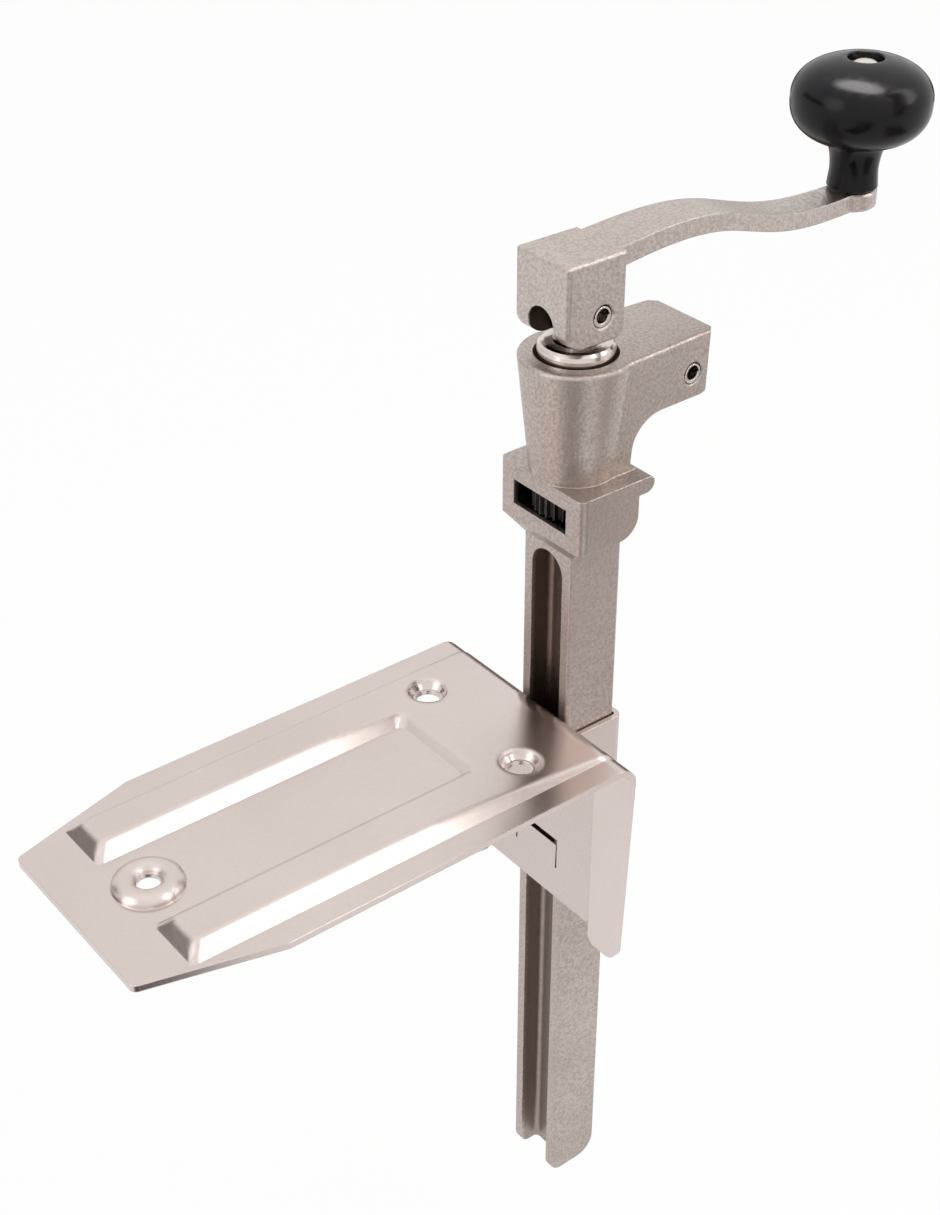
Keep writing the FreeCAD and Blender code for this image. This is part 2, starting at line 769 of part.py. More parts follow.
def tube():
    corner_z = CAST_TOP - TUBE_TOP_ROUND
    corner_x = ARBOR_X + tube_radius(corner_z) - TUBE_TOP_ROUND
    outline = Outline(in_xz(0.0), ARBOR_X, HEAD_TOP - 1)
    outline.line(ARBOR_X + tube_radius(HEAD_TOP - 1), HEAD_TOP - 1)
    outline.line(corner_x + TUBE_TOP_ROUND, corner_z)
    outline.chords(corner_x, corner_z, TUBE_TOP_ROUND, TUBE_TOP_ROUND, 0, 90, 2)
    outline.line(ARBOR_X, CAST_TOP)
    return turned(outline, ARBOR_X)


def strut_side(x, z):
    """Distance of the strut's flank from the middle plane."""
    root = STRUT_ROOT_SHARE * tube_radius(z)
    tip = STRUT_HALF_WIDTH - STRUT_DRAFT * (CAST_TOP - z)
    share = (x - ARBOR_X) / (STRUT_END - STRUT_SIDE_ROUND - ARBOR_X)
    return root + share * (tip - root)


def strut_flanks(low):
    """Plan of the strut from height low to the top, blending into the tube."""
    levels = []
    for z in (low, CAST_TOP + 1):
        root = strut_side(ARBOR_X, z)
        tip = strut_side(STRUT_END - STRUT_SIDE_ROUND, z)
        half = [
            (ARBOR_X, root),
            (STRUT_END - STRUT_SIDE_ROUND, tip),
            (STRUT_END, tip - STRUT_SIDE_ROUND),
        ]
        levels.append(polygon(in_xy(z), mirrored(half)).wire())
    return Part.makeLoft(levels, True, True)


def strut():
    """Arm of the casting that carries the knife's pivot."""
    under = CAST_TOP - STRUT_DEPTH
    end = STRUT_END
    web_x = ARBOR_X + THROAT_SETBACK
    throat_x = web_x + THROAT_RADIUS
    foot = THROAT_FOOT_ROUND
    root = HEAD_TOP - 1
    round_end = STRUT_END_ROUND
    side = Outline(in_xz(-TUBE_TOP_RADIUS), ARBOR_X, CAST_TOP)
    side.line(end, CAST_TOP)
    side.line(end, under + round_end)
    side.turn(end - round_end, under + round_end, round_end, 0, -90)
    side.line(throat_x, under)
    side.turn(throat_x, under - THROAT_RADIUS, THROAT_RADIUS, 90, 180)
    side.line(web_x, HEAD_TOP + foot)
    side.turn(web_x + foot, HEAD_TOP + foot, foot, 180, 270)
    side.line(web_x + foot, root)
    side.line(ARBOR_X, root)
    body = spread(side, TUBE_TOP_RADIUS).common(strut_flanks(root - 1))
    rims = edges_where(
        body,
        lambda box, edge: box.ZMin > CAST_TOP - 1e-3 and box.XMax > ARBOR_X + 1e-3,
    )
    return body.makeFillet(TUBE_TOP_ROUND, rims)


def knife_slot():
    """Space for the knife: a groove behind the tube and a slot in the strut."""
    half = KNIFE_THICK / 2 + KNIFE_SIDE_GAP
    behind = STRUT_END + 1
    outline = Outline(in_xz(-half), GROOVE_X, LIP_UNDER - 1)
    outline.line(GROOVE_X, KNIFE_PIN_Z - GROOVE_KNEE_DROP)
    outline.line(GROOVE_X + GROOVE_RUN, SLOT_ROOF)
    outline.line(behind, SLOT_ROOF)
    outline.line(behind, LIP_UNDER - 1)
    spring_x = KNIFE_PIN_X - KNIFE_BOSS_RADIUS - 1
    pocket_side = SPRING_END + KNIFE_SIDE_GAP
    pocket = block(
        spring_x, behind, 0, pocket_side, CAST_TOP - STRUT_DEPTH - 1, SLOT_ROOF
    )
    return spread(outline, half).fuse(pocket)


def gear_bay():
    """Space for the drive gear: a round bay open to the window and the back."""
    bay = post(GEAR_TIP_RADIUS + GEAR_GAP, ARBOR_X, 0, GEAR_BAY_FLOOR, LIP_UNDER)
    window = block(
        HEAD_FRONT - 1,
        ARBOR_X,
        -WINDOW_HALF_WIDTH,
        WINDOW_HALF_WIDTH,
        GEAR_BAY_FLOOR,
        LIP_UNDER,
    )
    return bay.fuse(window)


def pin_hole(radius, x, z, half_width):
    """Cross hole for a spring pin, chamfered at both mouths."""
    hole = cross_rod(radius + PRESS_GAP, x, z, half_width + 1)
    wide = radius + PIN_HOLE_CHAMFER
    for side in (-1, 1):
        mouth = Part.makeCone(
            radius,
            wide + 1.0,
            PIN_HOLE_CHAMFER + 1.0,
            vec(x, side * (half_width - PIN_HOLE_CHAMFER), z),
            vec(0, side, 0),
        )
        hole = hole.fuse(mouth)
    return hole


def opener_bar():
    """The casting: bar, head, tube and strut in one piece."""
    body = bar_stick().fuse([head_block(), head_lip(), tube(), strut()])
    body = body.cut(channel()).cut(gear_bay()).cut(knife_slot())
    recess = post(RING_RADIUS + RECESS_GAP, ARBOR_X, 0, RECESS_FLOOR, CAST_TOP + 1)
    bore = post(BUSH_RADIUS + PRESS_GAP, ARBOR_X, 0, LIP_UNDER - 1, CAST_TOP)
    body = body.cut(recess).cut(bore)
    hole_side = strut_side(KNIFE_PIN_X, KNIFE_PIN_Z)
    hole = pin_hole(CRANK_PIN_RADIUS, KNIFE_PIN_X, KNIFE_PIN_Z, hole_side)
    return body.cut(hole).removeSplitter()


def bush(z0, z1):
    outside = post(BUSH_RADIUS, ARBOR_X, 0, z0, z1)
    return outside.cut(post(SHAFT_RADIUS + BEARING_GAP, ARBOR_X, 0, z0 - 1, z1 + 1))


def upper_bush():
    return bush(RECESS_FLOOR - UPPER_BUSH_LENGTH, RECESS_FLOOR)


def lower_bush():
    return bush(LIP_UNDER, LIP_UNDER + LOWER_BUSH_LENGTH)


def thrust_washer():
    ring = post(RING_RADIUS, ARBOR_X, 0, RECESS_FLOOR, COLLAR_BASE)
    bore = SHAFT_RADIUS + SPIGOT_GAP + BEARING_GAP
    return ring.cut(post(bore, ARBOR_X, 0, RECESS_FLOOR - 1, COLLAR_BASE + 1))


def spigot(gap, z0, z1):
    """The square end of the arbor, or the space for it with a gap all round."""
    half = SPIGOT_HALF_WIDTH + gap
    return block(ARBOR_X - half, ARBOR_X + half, -half, half, z0, z1)


def arbor():
    """Shaft with a collar, a flattened end for the crank and a square end."""
    gear_top = GEAR_BOTTOM + GEAR_THICK
    shaft = post(SHAFT_RADIUS, ARBOR_X, 0, gear_top + BEARING_GAP, SHAFT_TOP)
    collar = post(COLLAR_RADIUS, ARBOR_X, 0, COLLAR_BASE, COLLAR_TOP)
    half = TONGUE_HALF_WIDTH
    wide = TONGUE_RADIUS
    tongue = Outline(in_xz(-half), ARBOR_X - wide, SHAFT_TOP - 1)
    tongue.line(ARBOR_X - wide, CRANK_PIN_Z)
    tongue.turn(ARBOR_X, CRANK_PIN_Z, wide, 180, 0)
    tongue.line(ARBOR_X + wide, SHAFT_TOP - 1)
    stock = post(SHAFT_RADIUS, ARBOR_X, 0, SHAFT_TOP - 1, CRANK_PIN_Z + wide + 1)
    end = spigot(0.0, GEAR_BOTTOM, gear_top + 1)
    body = shaft.fuse([collar, spread(tongue, half).common(stock), end])
    eye = cross_rod(CRANK_PIN_RADIUS + BEARING_GAP, ARBOR_X, CRANK_PIN_Z, half + 1)
    pin = cross_rod(GEAR_PIN_RADIUS + PRESS_GAP, ARBOR_X, GEAR_MIDDLE, SHAFT_RADIUS)
    return body.cut(eye).cut(pin).removeSplitter()


def thrust_ring():
    """Polished ring that slides on the arbor under the crank's hub."""
    bore = ARBOR_X + SHAFT_RADIUS + BEARING_GAP
    outside = ARBOR_X + RING_RADIUS
    outline = Outline(in_xz(0.0), bore, RING_BASE)
    outline.line(outside, RING_BASE)
    outline.line(outside, RING_TOP - RING_ROUND)
    outline.chords(
        outside - RING_ROUND, RING_TOP - RING_ROUND, RING_ROUND, RING_ROUND, 0, 90, 3
    )
    outline.line(bore, RING_TOP)
    return turned(outline, ARBOR_X)


def ring_spring():
    """Coil that holds the ring up, round the arbor's collar."""
    radius = (COLLAR_RADIUS + RING_RADIUS + RECESS_GAP) / 2
    height = RING_BASE - COLLAR_BASE - 2 * BEARING_GAP
    spring = coil(radius, RING_WIRE, height, RING_TURNS)
    spring.translate(vec(ARBOR_X, 0, COLLAR_BASE + BEARING_GAP))
    return spring


def drive_gear():
    """Toothed feed wheel that grips the underside of the can's rim."""
    pitch = 360.0 / GEAR_TEETH
    points = []
    for tooth in range(GEAR_TEETH):
        for share, radius in (
            (0.0, GEAR_ROOT_RADIUS),
            (0.28, GEAR_ROOT_RADIUS),
            (0.56, GEAR_TIP_RADIUS),
            (0.72, GEAR_TIP_RADIUS),
        ):
            angle = math.radians((tooth + share) * pitch)
            points.append(
                (ARBOR_X + radius * math.cos(angle), radius * math.sin(angle))
            )
    wheel = polygon(in_xy(GEAR_BOTTOM), points).face().extrude(vec(0, 0, GEAR_THICK))
    top = GEAR_BOTTOM + GEAR_THICK
    square = spigot(SPIGOT_GAP, GEAR_BOTTOM - 1, top + 1)
    pin = cross_rod(GEAR_PIN_RADIUS + PRESS_GAP, ARBOR_X, GEAR_MIDDLE, GEAR_TIP_RADIUS)
    return wheel.cut(square).cut(pin)


def gear_pin():
    return cross_rod(GEAR_PIN_RADIUS, ARBOR_X, GEAR_MIDDLE, GEAR_ROOT_RADIUS - 0.5)


def spring_pin(x, z, half_length):
    """A rolled pin with an open seam."""
    outside = cross_rod(CRANK_PIN_RADIUS, x, z, half_length)
    inside = cross_rod(CRANK_PIN_RADIUS - PIN_WALL, x, z, half_length + 1)
    seam = block(
        x, x + CRANK_PIN_RADIUS + 1, -half_length - 1, half_length + 1,
        z - PIN_SLOT / 2, z + PIN_SLOT / 2,
    )
    seam.rotate(vec(x, 0, z), Y_AXIS, -70)
    return outside.cut(inside).cut(seam)


def crank_pin():
    return spring_pin(ARBOR_X, CRANK_PIN_Z, HUB_HALF_WIDTH - PIN_END_INSET)


def knife_pin():
    half_length = strut_side(KNIFE_PIN_X, KNIFE_PIN_Z) - PIN_END_INSET
    return spring_pin(KNIFE_PIN_X, KNIFE_PIN_Z, half_length)


def hub_slot(front):
    """Space in which the arbor's flat end swings as the crank tilts up."""
    half = SLOT_HALF_WIDTH
    swing = TONGUE_RADIUS + SLOT_CLEARANCE
    lean = math.radians(CRANK_TILT)
    touch_x = ARBOR_X - swing * math.cos(lean)
    touch_z = CRANK_PIN_Z + swing * math.sin(lean)
    drop = (touch_x - front + 1) / math.tan(lean)
    slot = Outline(in_xz(-half), front - 1, touch_z - drop)
    slot.line(touch_x, touch_z)
    slot.turn(ARBOR_X, CRANK_PIN_Z, swing, 180 - CRANK_TILT, 0)
    slot.line(ARBOR_X + swing, HUB_BOTTOM - 1)
    slot.line(front - 1, HUB_BOTTOM - 1)
    mouth_z = CRANK_PIN_Z - MOUTH_DROP
    mouth = Part.makeCylinder(half, HUB_FRONT + 1, vec(front - 1, 0, mouth_z), X_AXIS)
    return spread(slot, half).fuse(mouth)


def hub():
    """The crank's clevis, open below and in front so that the arm folds up."""
    front = ARBOR_X - HUB_FRONT
    corner = HUB_CORNER_ROUND
    rear_corner = corner / 2
    side = Outline(in_xz(-HUB_HALF_WIDTH), front, HUB_TOP)
    side.line(HUB_BACK_X, HUB_TOP)
    side.line(HUB_BACK_X, HUB_BOTTOM + rear_corner)
    side.turn(
        HUB_BACK_X - rear_corner, HUB_BOTTOM + rear_corner, rear_corner, 0, -90
    )
    side.line(front + corner, HUB_BOTTOM)
    side.turn(front + corner, HUB_BOTTOM + corner, corner, 270, 180)
    body = spread(side, HUB_HALF_WIDTH)
    edges = edges_where(
        body,
        lambda box, edge: (box.ZMin > HUB_TOP - 1e-3 or is_upright(box))
        and box.XMax < front + 1e-3
        or box.ZMin > HUB_TOP - 1e-3
        and box.YLength < 1e-3,
    )
    body = body.makeChamfer(HUB_EDGE_BEVEL, edges)
    grooves = side_grooves(
        front + PARTING_SETBACK / 2, HUB_HALF_WIDTH, HUB_BOTTOM + corner / 2, HUB_TOP - 2
    )
    return body.cut(grooves).cut(hub_slot(front))


def arm():
    """The cranked arm, narrowing and dropping towards the knob."""
    start = HUB_BACK_X - ARM_ROOT_SINK
    reach = KNOB_X - start
    top = []
    under = []
    for share, height in ARM_SHAPE:
        lift = height * (ARM_RISE if height > 0 else ARM_DROP) - ARM_SINK
        thick = ARM_ROOT_THICK + share * (ARM_TIP_THICK - ARM_ROOT_THICK)
        top.append((start + share * reach, HUB_TOP + lift))
        under.append((start + share * reach, HUB_TOP + lift - thick))
    under.reverse()
    side = Outline(in_xz(-HUB_HALF_WIDTH), *top[0])
    side.spline(top[1:])
    side.line(*under[0])
    side.spline(under[1:])
    body = spread(side, HUB_HALF_WIDTH)
    plan = polygon(
        in_xy(BOSS_BOTTOM - 5),
        mirrored([(start, ARM_ROOT_WIDTH / 2), (KNOB_X, ARM_TIP_WIDTH / 2)]),
    )
    return body.common(plan.face().extrude(vec(0, 0, HUB_TOP - BOSS_BOTTOM + 15)))


def crank_handle():
    boss = post(BOSS_RADIUS, KNOB_X, 0, BOSS_BOTTOM, BOSS_TOP)
    rims = edges_where(boss, lambda box, edge: box.ZLength < 1e-4)
    boss = boss.makeChamfer(BOSS_BEVEL, rims)
    above = block(
        HUB_BACK_X, KNOB_X + BOSS_RADIUS, -BOSS_RADIUS, BOSS_RADIUS, BOSS_TOP, HUB_TOP + 9
    )
    tip = arm().cut(above.common(post(BOSS_RADIUS, KNOB_X, 0, BOSS_TOP, HUB_TOP + 9)))
    body = hub().fuse([tip, boss])
    hole = pin_hole(CRANK_PIN_RADIUS, ARBOR_X, CRANK_PIN_Z, HUB_HALF_WIDTH)
    stud = post(STUD_RADIUS + PRESS_GAP, KNOB_X, 0, BOSS_BOTTOM - 3, BOSS_TOP + 3)
    return body.cut(hole).cut(stud).removeSplitter()


def stud_head_z():
    return KNOB_TOP - KNOB_MOUTH_DEPTH


def knob_stud():
    """Riveted stud that the knob turns on."""
    x = KNOB_X
    head_z = stud_head_z() + BEARING_GAP
    rivet = x + STUD_RADIUS + STUD_RIVET_WIDTH
    outline = Outline(in_xz(0.0), x, BOSS_BOTTOM - STUD_RIVET_HEIGHT)
    outline.line(rivet, BOSS_BOTTOM - STUD_RIVET_HEIGHT)
    outline.line(rivet, BOSS_BOTTOM)
    outline.line(x + STUD_RADIUS, BOSS_BOTTOM)
    outline.line(x + STUD_RADIUS, head_z)
    outline.line(x + STUD_HEAD_RADIUS, head_z)
    rise = STUD_HEAD_HEIGHT / 2
    outline.line(x + STUD_HEAD_RADIUS, head_z + rise)
    outline.chords(x, head_z + rise, STUD_HEAD_RADIUS, rise, 0, 90, 2)
    return turned(outline, x)


def knob_sleeve():
    """Liner pressed into the knob, which runs on the stud."""
    bore = STUD_RADIUS + BEARING_GAP
    top = stud_head_z()
    outside = post(bore + SLEEVE_WALL, KNOB_X, 0, KNOB_BASE, top)
    return outside.cut(post(bore, KNOB_X, 0, KNOB_BASE - 1, top + 1))


def ball_curve(end_radius, end_height, fullness, steps):
    """Half of the ball's profile: distances from its axis and its equator."""
    share = (end_radius / KNOB_RADIUS) ** fullness
    height = end_height / (1 - share) ** (1 / fullness)
    last = math.acos(math.sqrt(share))
    curve = []
    for step in range(steps + 1):
        angle = last * step / steps
        away = KNOB_RADIUS * math.cos(angle) ** (2 / fullness)
        curve.append((away, height * math.sin(angle) ** (2 / fullness)))
    return curve


def knob():
    """Moulded ball knob with a waisted neck and a mouth for the stud's head."""
    x = KNOB_X
    base = KNOB_BASE
    equator = base + KNOB_EQUATOR
    flare = base + KNOB_FLARE_HEIGHT
    waist_z = base + KNOB_WAIST_HEIGHT
    flare_run = KNOB_FLARE_RADIUS - KNOB_WAIST_RADIUS
    mouth = KNOB_MOUTH_RADIUS
    lower = ball_curve(
        KNOB_FLARE_RADIUS, equator - flare, KNOB_LOWER_FULLNESS, KNOB_LOWER_STEPS
    )
    upper = ball_curve(
        mouth + KNOB_EDGE, KNOB_TOP - equator, KNOB_UPPER_FULLNESS, KNOB_UPPER_STEPS
    )
    outline = Outline(in_xz(0.0), x, base)
    outline.line(x + KNOB_NECK_RADIUS - KNOB_EDGE, base)
    outline.line(x + KNOB_NECK_RADIUS, base + KNOB_EDGE)
    outline.line(x + KNOB_WAIST_RADIUS, waist_z)
    outline.chords(
        x + KNOB_FLARE_RADIUS, waist_z, flare_run, flare - waist_z, 180, 90, 3
    )
    outline.through([(x + away, equator - drop) for away, drop in reversed(lower[:-1])])
    outline.through([(x + away, equator + rise) for away, rise in upper[1:]])
    outline.line(x + mouth, KNOB_TOP - KNOB_EDGE)
    outline.line(x + mouth, KNOB_TOP - KNOB_MOUTH_DEPTH)
    outline.line(x, KNOB_TOP - KNOB_MOUTH_DEPTH)
    bore = STUD_RADIUS + BEARING_GAP + SLEEVE_WALL + PRESS_GAP
    return turned(outline, x).cut(post(bore, x, 0, base - 1, KNOB_TOP + 1))


def knife():
    """Lever with a crosswise blade, hung from the strut."""
    half = KNIFE_THICK / 2
    pin_x = KNIFE_PIN_X
    pin_z = KNIFE_PIN_Z
    reach = KNIFE_BOSS_RADIUS
    slant = reach * math.sqrt(0.5)
    face = KNIFE_FACE_X
    back = face + LEVER_WIDTH
    shoulder = BLADE_TOP - BLADE_SHOULDER
    side = Outline(in_xz(-half), face, shoulder)
    side.line(face, pin_z - LEVER_KNEE_DROP)
    side.line(face + LEVER_NOSE_RUN, pin_z + LEVER_NOSE_RISE)
    side.line(pin_x - slant, pin_z + slant)
    side.turn(pin_x, pin_z, reach, 135, -45)
    side.line(back + LEVER_ELBOW_RUN, pin_z - LEVER_ELBOW_DROP)
    side.line(back, pin_z - LEVER_BACK_DROP)
    side.line(back, shoulder)
    lever = spread(side, half)
    foot = BLADE_TOP - BLADE_LENGTH
    wide = BLADE_HALF_WIDTH
    blade = polygon(
        in_yz(face),
        mirrored_across([(wide, BLADE_TOP), (wide, shoulder), (BLADE_POINT, foot)]),
    )
    blade = blade.face().extrude(vec(BLADE_THICK, 0, 0))
    bevel = polygon(
        in_xz(-wide - 1),
        [
            (face + BLADE_THICK - BLADE_BEVEL, foot - 1),
            (face + BLADE_THICK + 1, foot + BEVEL_RISE),
            (face + BLADE_THICK + 1, foot - 1),
        ],
    )
    blade = blade.cut(bevel.face().extrude(vec(0, 2 * wide + 2, 0)))
    eye = cross_rod(CRANK_PIN_RADIUS + BEARING_GAP, pin_x, pin_z, half + 1)
    return lever.fuse(blade).cut(eye).removeSplitter()


def knife_spring():
    """Torsion spring beside the knife, which holds it against the rim."""
    radius = CRANK_PIN_RADIUS + SPRING_WIRE / 2 + SPRING_GAP
    spring = coil(radius, SPRING_WIRE, SPRING_LENGTH, SPRING_TURNS)
    spring.rotate(vec(0, 0, 0), X_AXIS, -90)
    spring.translate(vec(KNIFE_PIN_X, SPRING_START, KNIFE_PIN_Z))
    return spring


NODES = {
    "base_plate": base_plate,
    "guide_plate": guide_plate,
    "guide_strap": guide_strap,
    "opener_bar": opener_bar,
    "upper_bush": upper_bush,
    "lower_bush": lower_bush,
    "thrust_washer": thrust_washer,
    "knife_pin": knife_pin,
    "knife": knife,
    "knife_spring": knife_spring,
    "arbor": arbor,
    "thrust_ring": thrust_ring,
    "ring_spring": ring_spring,
    "drive_gear": drive_gear,
    "gear_pin": gear_pin,
    "crank_handle": crank_handle,
    "crank_pin": crank_pin,
    "knob_stud": knob_stud,
    "knob_sleeve": knob_sleeve,
    "knob": knob,
}


def main():
    os.makedirs("parts", exist_ok=True)
    for name, make in NODES.items():
        shape = make()
        solids = shape.Solids
        print(name, len(solids), "solid(s)", "valid" if shape.isValid() else "INVALID")
        part = solids[0] if len(solids) == 1 else Part.makeCompound(solids)
        part.exportStep("parts/" + name + ".step")


main()
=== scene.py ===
"""Finishes, small details, light and camera for a table-mounted crank can opener."""

import json
import logging
import math
from dataclasses import dataclass, field
from enum import Enum
from typing import Any

import bmesh
import bpy
from mathutils import Matrix, Vector

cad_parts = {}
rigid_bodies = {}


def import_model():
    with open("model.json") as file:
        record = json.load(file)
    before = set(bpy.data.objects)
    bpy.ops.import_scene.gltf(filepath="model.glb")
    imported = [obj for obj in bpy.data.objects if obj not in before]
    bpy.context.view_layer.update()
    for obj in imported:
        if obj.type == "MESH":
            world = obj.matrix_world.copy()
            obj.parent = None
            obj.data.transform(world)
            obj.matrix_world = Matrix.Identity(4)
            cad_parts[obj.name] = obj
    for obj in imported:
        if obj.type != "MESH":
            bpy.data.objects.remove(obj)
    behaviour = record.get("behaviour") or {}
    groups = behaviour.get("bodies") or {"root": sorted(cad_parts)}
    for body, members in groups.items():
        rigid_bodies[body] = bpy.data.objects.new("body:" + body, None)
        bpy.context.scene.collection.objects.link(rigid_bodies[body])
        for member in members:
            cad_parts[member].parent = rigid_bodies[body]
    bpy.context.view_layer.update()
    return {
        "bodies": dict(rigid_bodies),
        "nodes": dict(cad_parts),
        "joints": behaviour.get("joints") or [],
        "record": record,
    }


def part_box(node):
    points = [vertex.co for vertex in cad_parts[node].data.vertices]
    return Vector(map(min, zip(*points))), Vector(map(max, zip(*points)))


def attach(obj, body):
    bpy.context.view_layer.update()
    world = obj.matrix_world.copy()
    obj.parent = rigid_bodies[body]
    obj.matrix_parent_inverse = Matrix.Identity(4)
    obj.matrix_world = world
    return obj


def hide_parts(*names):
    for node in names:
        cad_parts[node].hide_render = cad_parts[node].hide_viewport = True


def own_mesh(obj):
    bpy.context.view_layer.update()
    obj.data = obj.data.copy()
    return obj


LOG = logging.getLogger("can_opener")
Colour = tuple[float, float, float]
Box = tuple[Vector, Vector]
MM = 0.001
SEAM = 1e-7
CREASE = 35.0
STEEL_TINT = (1.0, 0.92, 0.86)
STEEL_SHADE = (0.85, 0.77, 0.71)
ONE_SHAPE = {"Geometry": "Geometry"}
ALONG_Y = Matrix.Rotation(math.radians(90), 4, "X")
TO_STRAP = Matrix(((0, 0, 1), (1, 0, 0), (0, 1, 0))).to_4x4()

# Painted shade in the castings' hollows: each hollow's box in metres, and the darker tone painted
# inside it where shade falls.
UPPER_GROOVE_SHADE = (
    (Vector((0.0345, -0.0093, -0.05)), Vector((0.045, 0.0093, 0.0674))),
    (0.25, 0.195, 0.165),
)
LOWER_GROOVE_SHADE = (
    (Vector((0.0345, -0.0093, -0.27)), Vector((0.045, 0.0093, -0.0508))),
    (0.36, 0.3, 0.27),
)
GEAR_WINDOW_SHADE = (
    (Vector((0.0305, -0.0152, 0.0792)), Vector((0.0640, 0.0152, 0.0908))),
    (0.06, 0.045, 0.038),
)
HUB_MOUTH_SHADE = (
    (Vector((0.0283, -0.0076, 0.1400)), Vector((0.0526, 0.0076, 0.1662))),
    (0.07, 0.052, 0.043),
)


class Body(Enum):
    """The moving bodies of the opener."""

    BASE = "base"
    BAR = "bar"
    KNIFE = "knife"
    ARBOR = "arbor"
    RING = "ring"
    CRANK = "crank"
    KNOB = "knob"


class Slot(Enum):
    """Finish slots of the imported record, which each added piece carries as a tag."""

    SHEET = "base_sheet"
    PIN = "pin_steel"
    PLASTIC = "knob_plastic"


class Steel(Enum):
    """The plain bright steels: each one's name, how bright it is and how matt."""

    ARBOR = ("polished arbor", 0.66, 0.17)
    RING = ("polished ring", 0.72, 0.12)
    WASHER = ("ground washer", 0.5, 0.25)
    PINS = ("bright pins", 0.66, 0.2)
    WIRE = ("spring wire", 0.5, 0.24)
    KNIFE = ("ground knife", 0.58, 0.26)
    # Painted shade: the gear's near-black tone stands for the shade inside the casting's window.
    GEAR = ("oiled gear", 0.035, 0.5)
    STUD = ("bright stud", 0.8, 0.16)
    SLEEVE = ("sleeve steel", 0.5, 0.3)
    WELDS = ("weld marks", 0.45, 0.36)


@dataclass(frozen=True)
class Piece:
    """An added piece, the body that carries it, its slot and the node that it stands for."""

    name: str
    body: Body
    slot: Slot
    node: str = ""


class NodeSheet:
    """A node tree with short calls for adding and joining nodes."""

    def __init__(self, tree: bpy.types.NodeTree) -> None:
        """Take over a tree.

        Args:
            tree: the shader or geometry node tree that is filled.
        """
        self.tree = tree
        self.source: Any = None
        self.result: Any = None

    def add(self, kind: str, **settings: Any) -> bpy.types.Node:
        """Add a node and set its properties and inputs.

        Args:
            kind: the node's type name.
            settings: properties by name, or inputs by name with spaces as underscores.

        Returns:
            The new node.
        """
        node = self.tree.nodes.new(kind)
        for name, value in settings.items():
            if hasattr(node, name):
                setattr(node, name, value)
                continue
            self.feed(value, node.inputs[name.replace("_", " ")])
        return node

    def feed(self, value: Any, socket: bpy.types.NodeSocket) -> None:
        """Give an input a socket, a colour or a plain value.

        Args:
            value: what the input gets.
            socket: the input.
        """
        if isinstance(value, bpy.types.NodeSocket):
            self.tree.links.new(value, socket)
        elif socket.type == "RGBA" and len(value) == 3:
            socket.default_value = (*value, 1.0)
        else:
            socket.default_value = value

    def combine(self, kind: str, operation: str, *values: Any) -> bpy.types.NodeOutputs:
        """Combine numbers or vectors.

        Args:
            kind: the type name of a Math or Vector Math node.
            operation: its operation.
            values: a socket, a number or a vector for each input.

        Returns:
            The node's outputs.
        """
        node = self.add(kind, operation=operation)
        for socket, value in zip(node.inputs, values):
            self.feed(value, socket)
        return node.outputs

    def maths(self, operation: str, first: Any, second: Any) -> bpy.types.NodeSocket:
        """Combine two sockets or numbers."""
        return self.combine("ShaderNodeMath", operation, first, second)[0]

    def vectors(self, operation: str, *values: Any) -> bpy.types.NodeOutputs:
        """Combine one or two sockets or vectors."""
        return self.combine("ShaderNodeVectorMath", operation, *values)

    def spread(
        self, value: bpy.types.NodeSocket, low: float, high: float, start: float, end: float
    ) -> bpy.types.NodeSocket:
        """Map a value from one range to another, clamped.

        Args:
            value: the socket to map.
            low: the value that gives start.
            high: the value that gives end.
            start: the result at low.
            end: the result at high.

        Returns:
            The mapped socket.
        """
        node = self.add(
            "ShaderNodeMapRange", Value=value, From_Min=low, From_Max=high, To_Min=start, To_Max=end
        )
        return node.outputs[0]

    def blend(self, share: Any, first: Any, second: Any) -> bpy.types.NodeSocket:
        """Mix two colours.

        Args:
            share: how much of the second colour shows, a socket or a number.
            first: a socket or a colour.
            second: a socket or a colour.

        Returns:
            The mixed colour's socket.
        """
        node = self.tree.nodes.new("ShaderNodeMix")
        node.data_type = "RGBA"
        for index, value in ((0, share), (6, first), (7, second)):
            self.feed(value, node.inputs[index])
        return node.outputs[2]

    def noise(self, place: Any, scale: Any, detail: float, roughness: float) -> Any:
        """Noise over coordinates, from 0 to 1."""
        sizes = {"Vector": place, "Scale": scale, "Detail": detail, "Roughness": roughness}
        return self.add("ShaderNodeTexNoise", **sizes).outputs["Fac"]

    def sweep(self, path: Any, profile: Any, caps: bool = True) -> bpy.types.NodeSocket:
        """Sweep one curve's socket along another's, with closed ends or open ones."""
        parts = {"Curve": path, "Profile_Curve": profile, "Fill_Caps": caps}
        return self.add("GeometryNodeCurveToMesh", **parts).outputs[0]

    def use(self, group: bpy.types.NodeTree, **sizes: Any) -> bpy.types.NodeOutputs:
        """Place a shared effect on the material's coordinates and give its outputs."""
        return self.add("ShaderNodeGroup", node_tree=group, Vector=self.source, **sizes).outputs

    def bump(self, height: Any, normal: Any, depth: float, strength: float) -> Any:
        """Raise a height on top of a normal, where a height of 1 rises by the depth."""
        sizes = {"Strength": strength, "Distance": depth, "Height": height, "Normal": normal}
        return self.add("ShaderNodeBump", **sizes).outputs[0]

    def end(self, **results: Any) -> None:
        """Feed the results by name, with spaces as underscores."""
        for name, value in results.items():
            self.feed(value, self.result[name.replace("_", " ")])


def blank(holder: bpy.types.Material | bpy.types.World) -> NodeSheet:
    """Empty the nodes of a material or of the world.

    Args:
        holder: the material or the world.

    Returns:
        The sheet of its nodes.
    """
    holder.use_nodes = True
    holder.node_tree.nodes.clear()
    return NodeSheet(holder.node_tree)


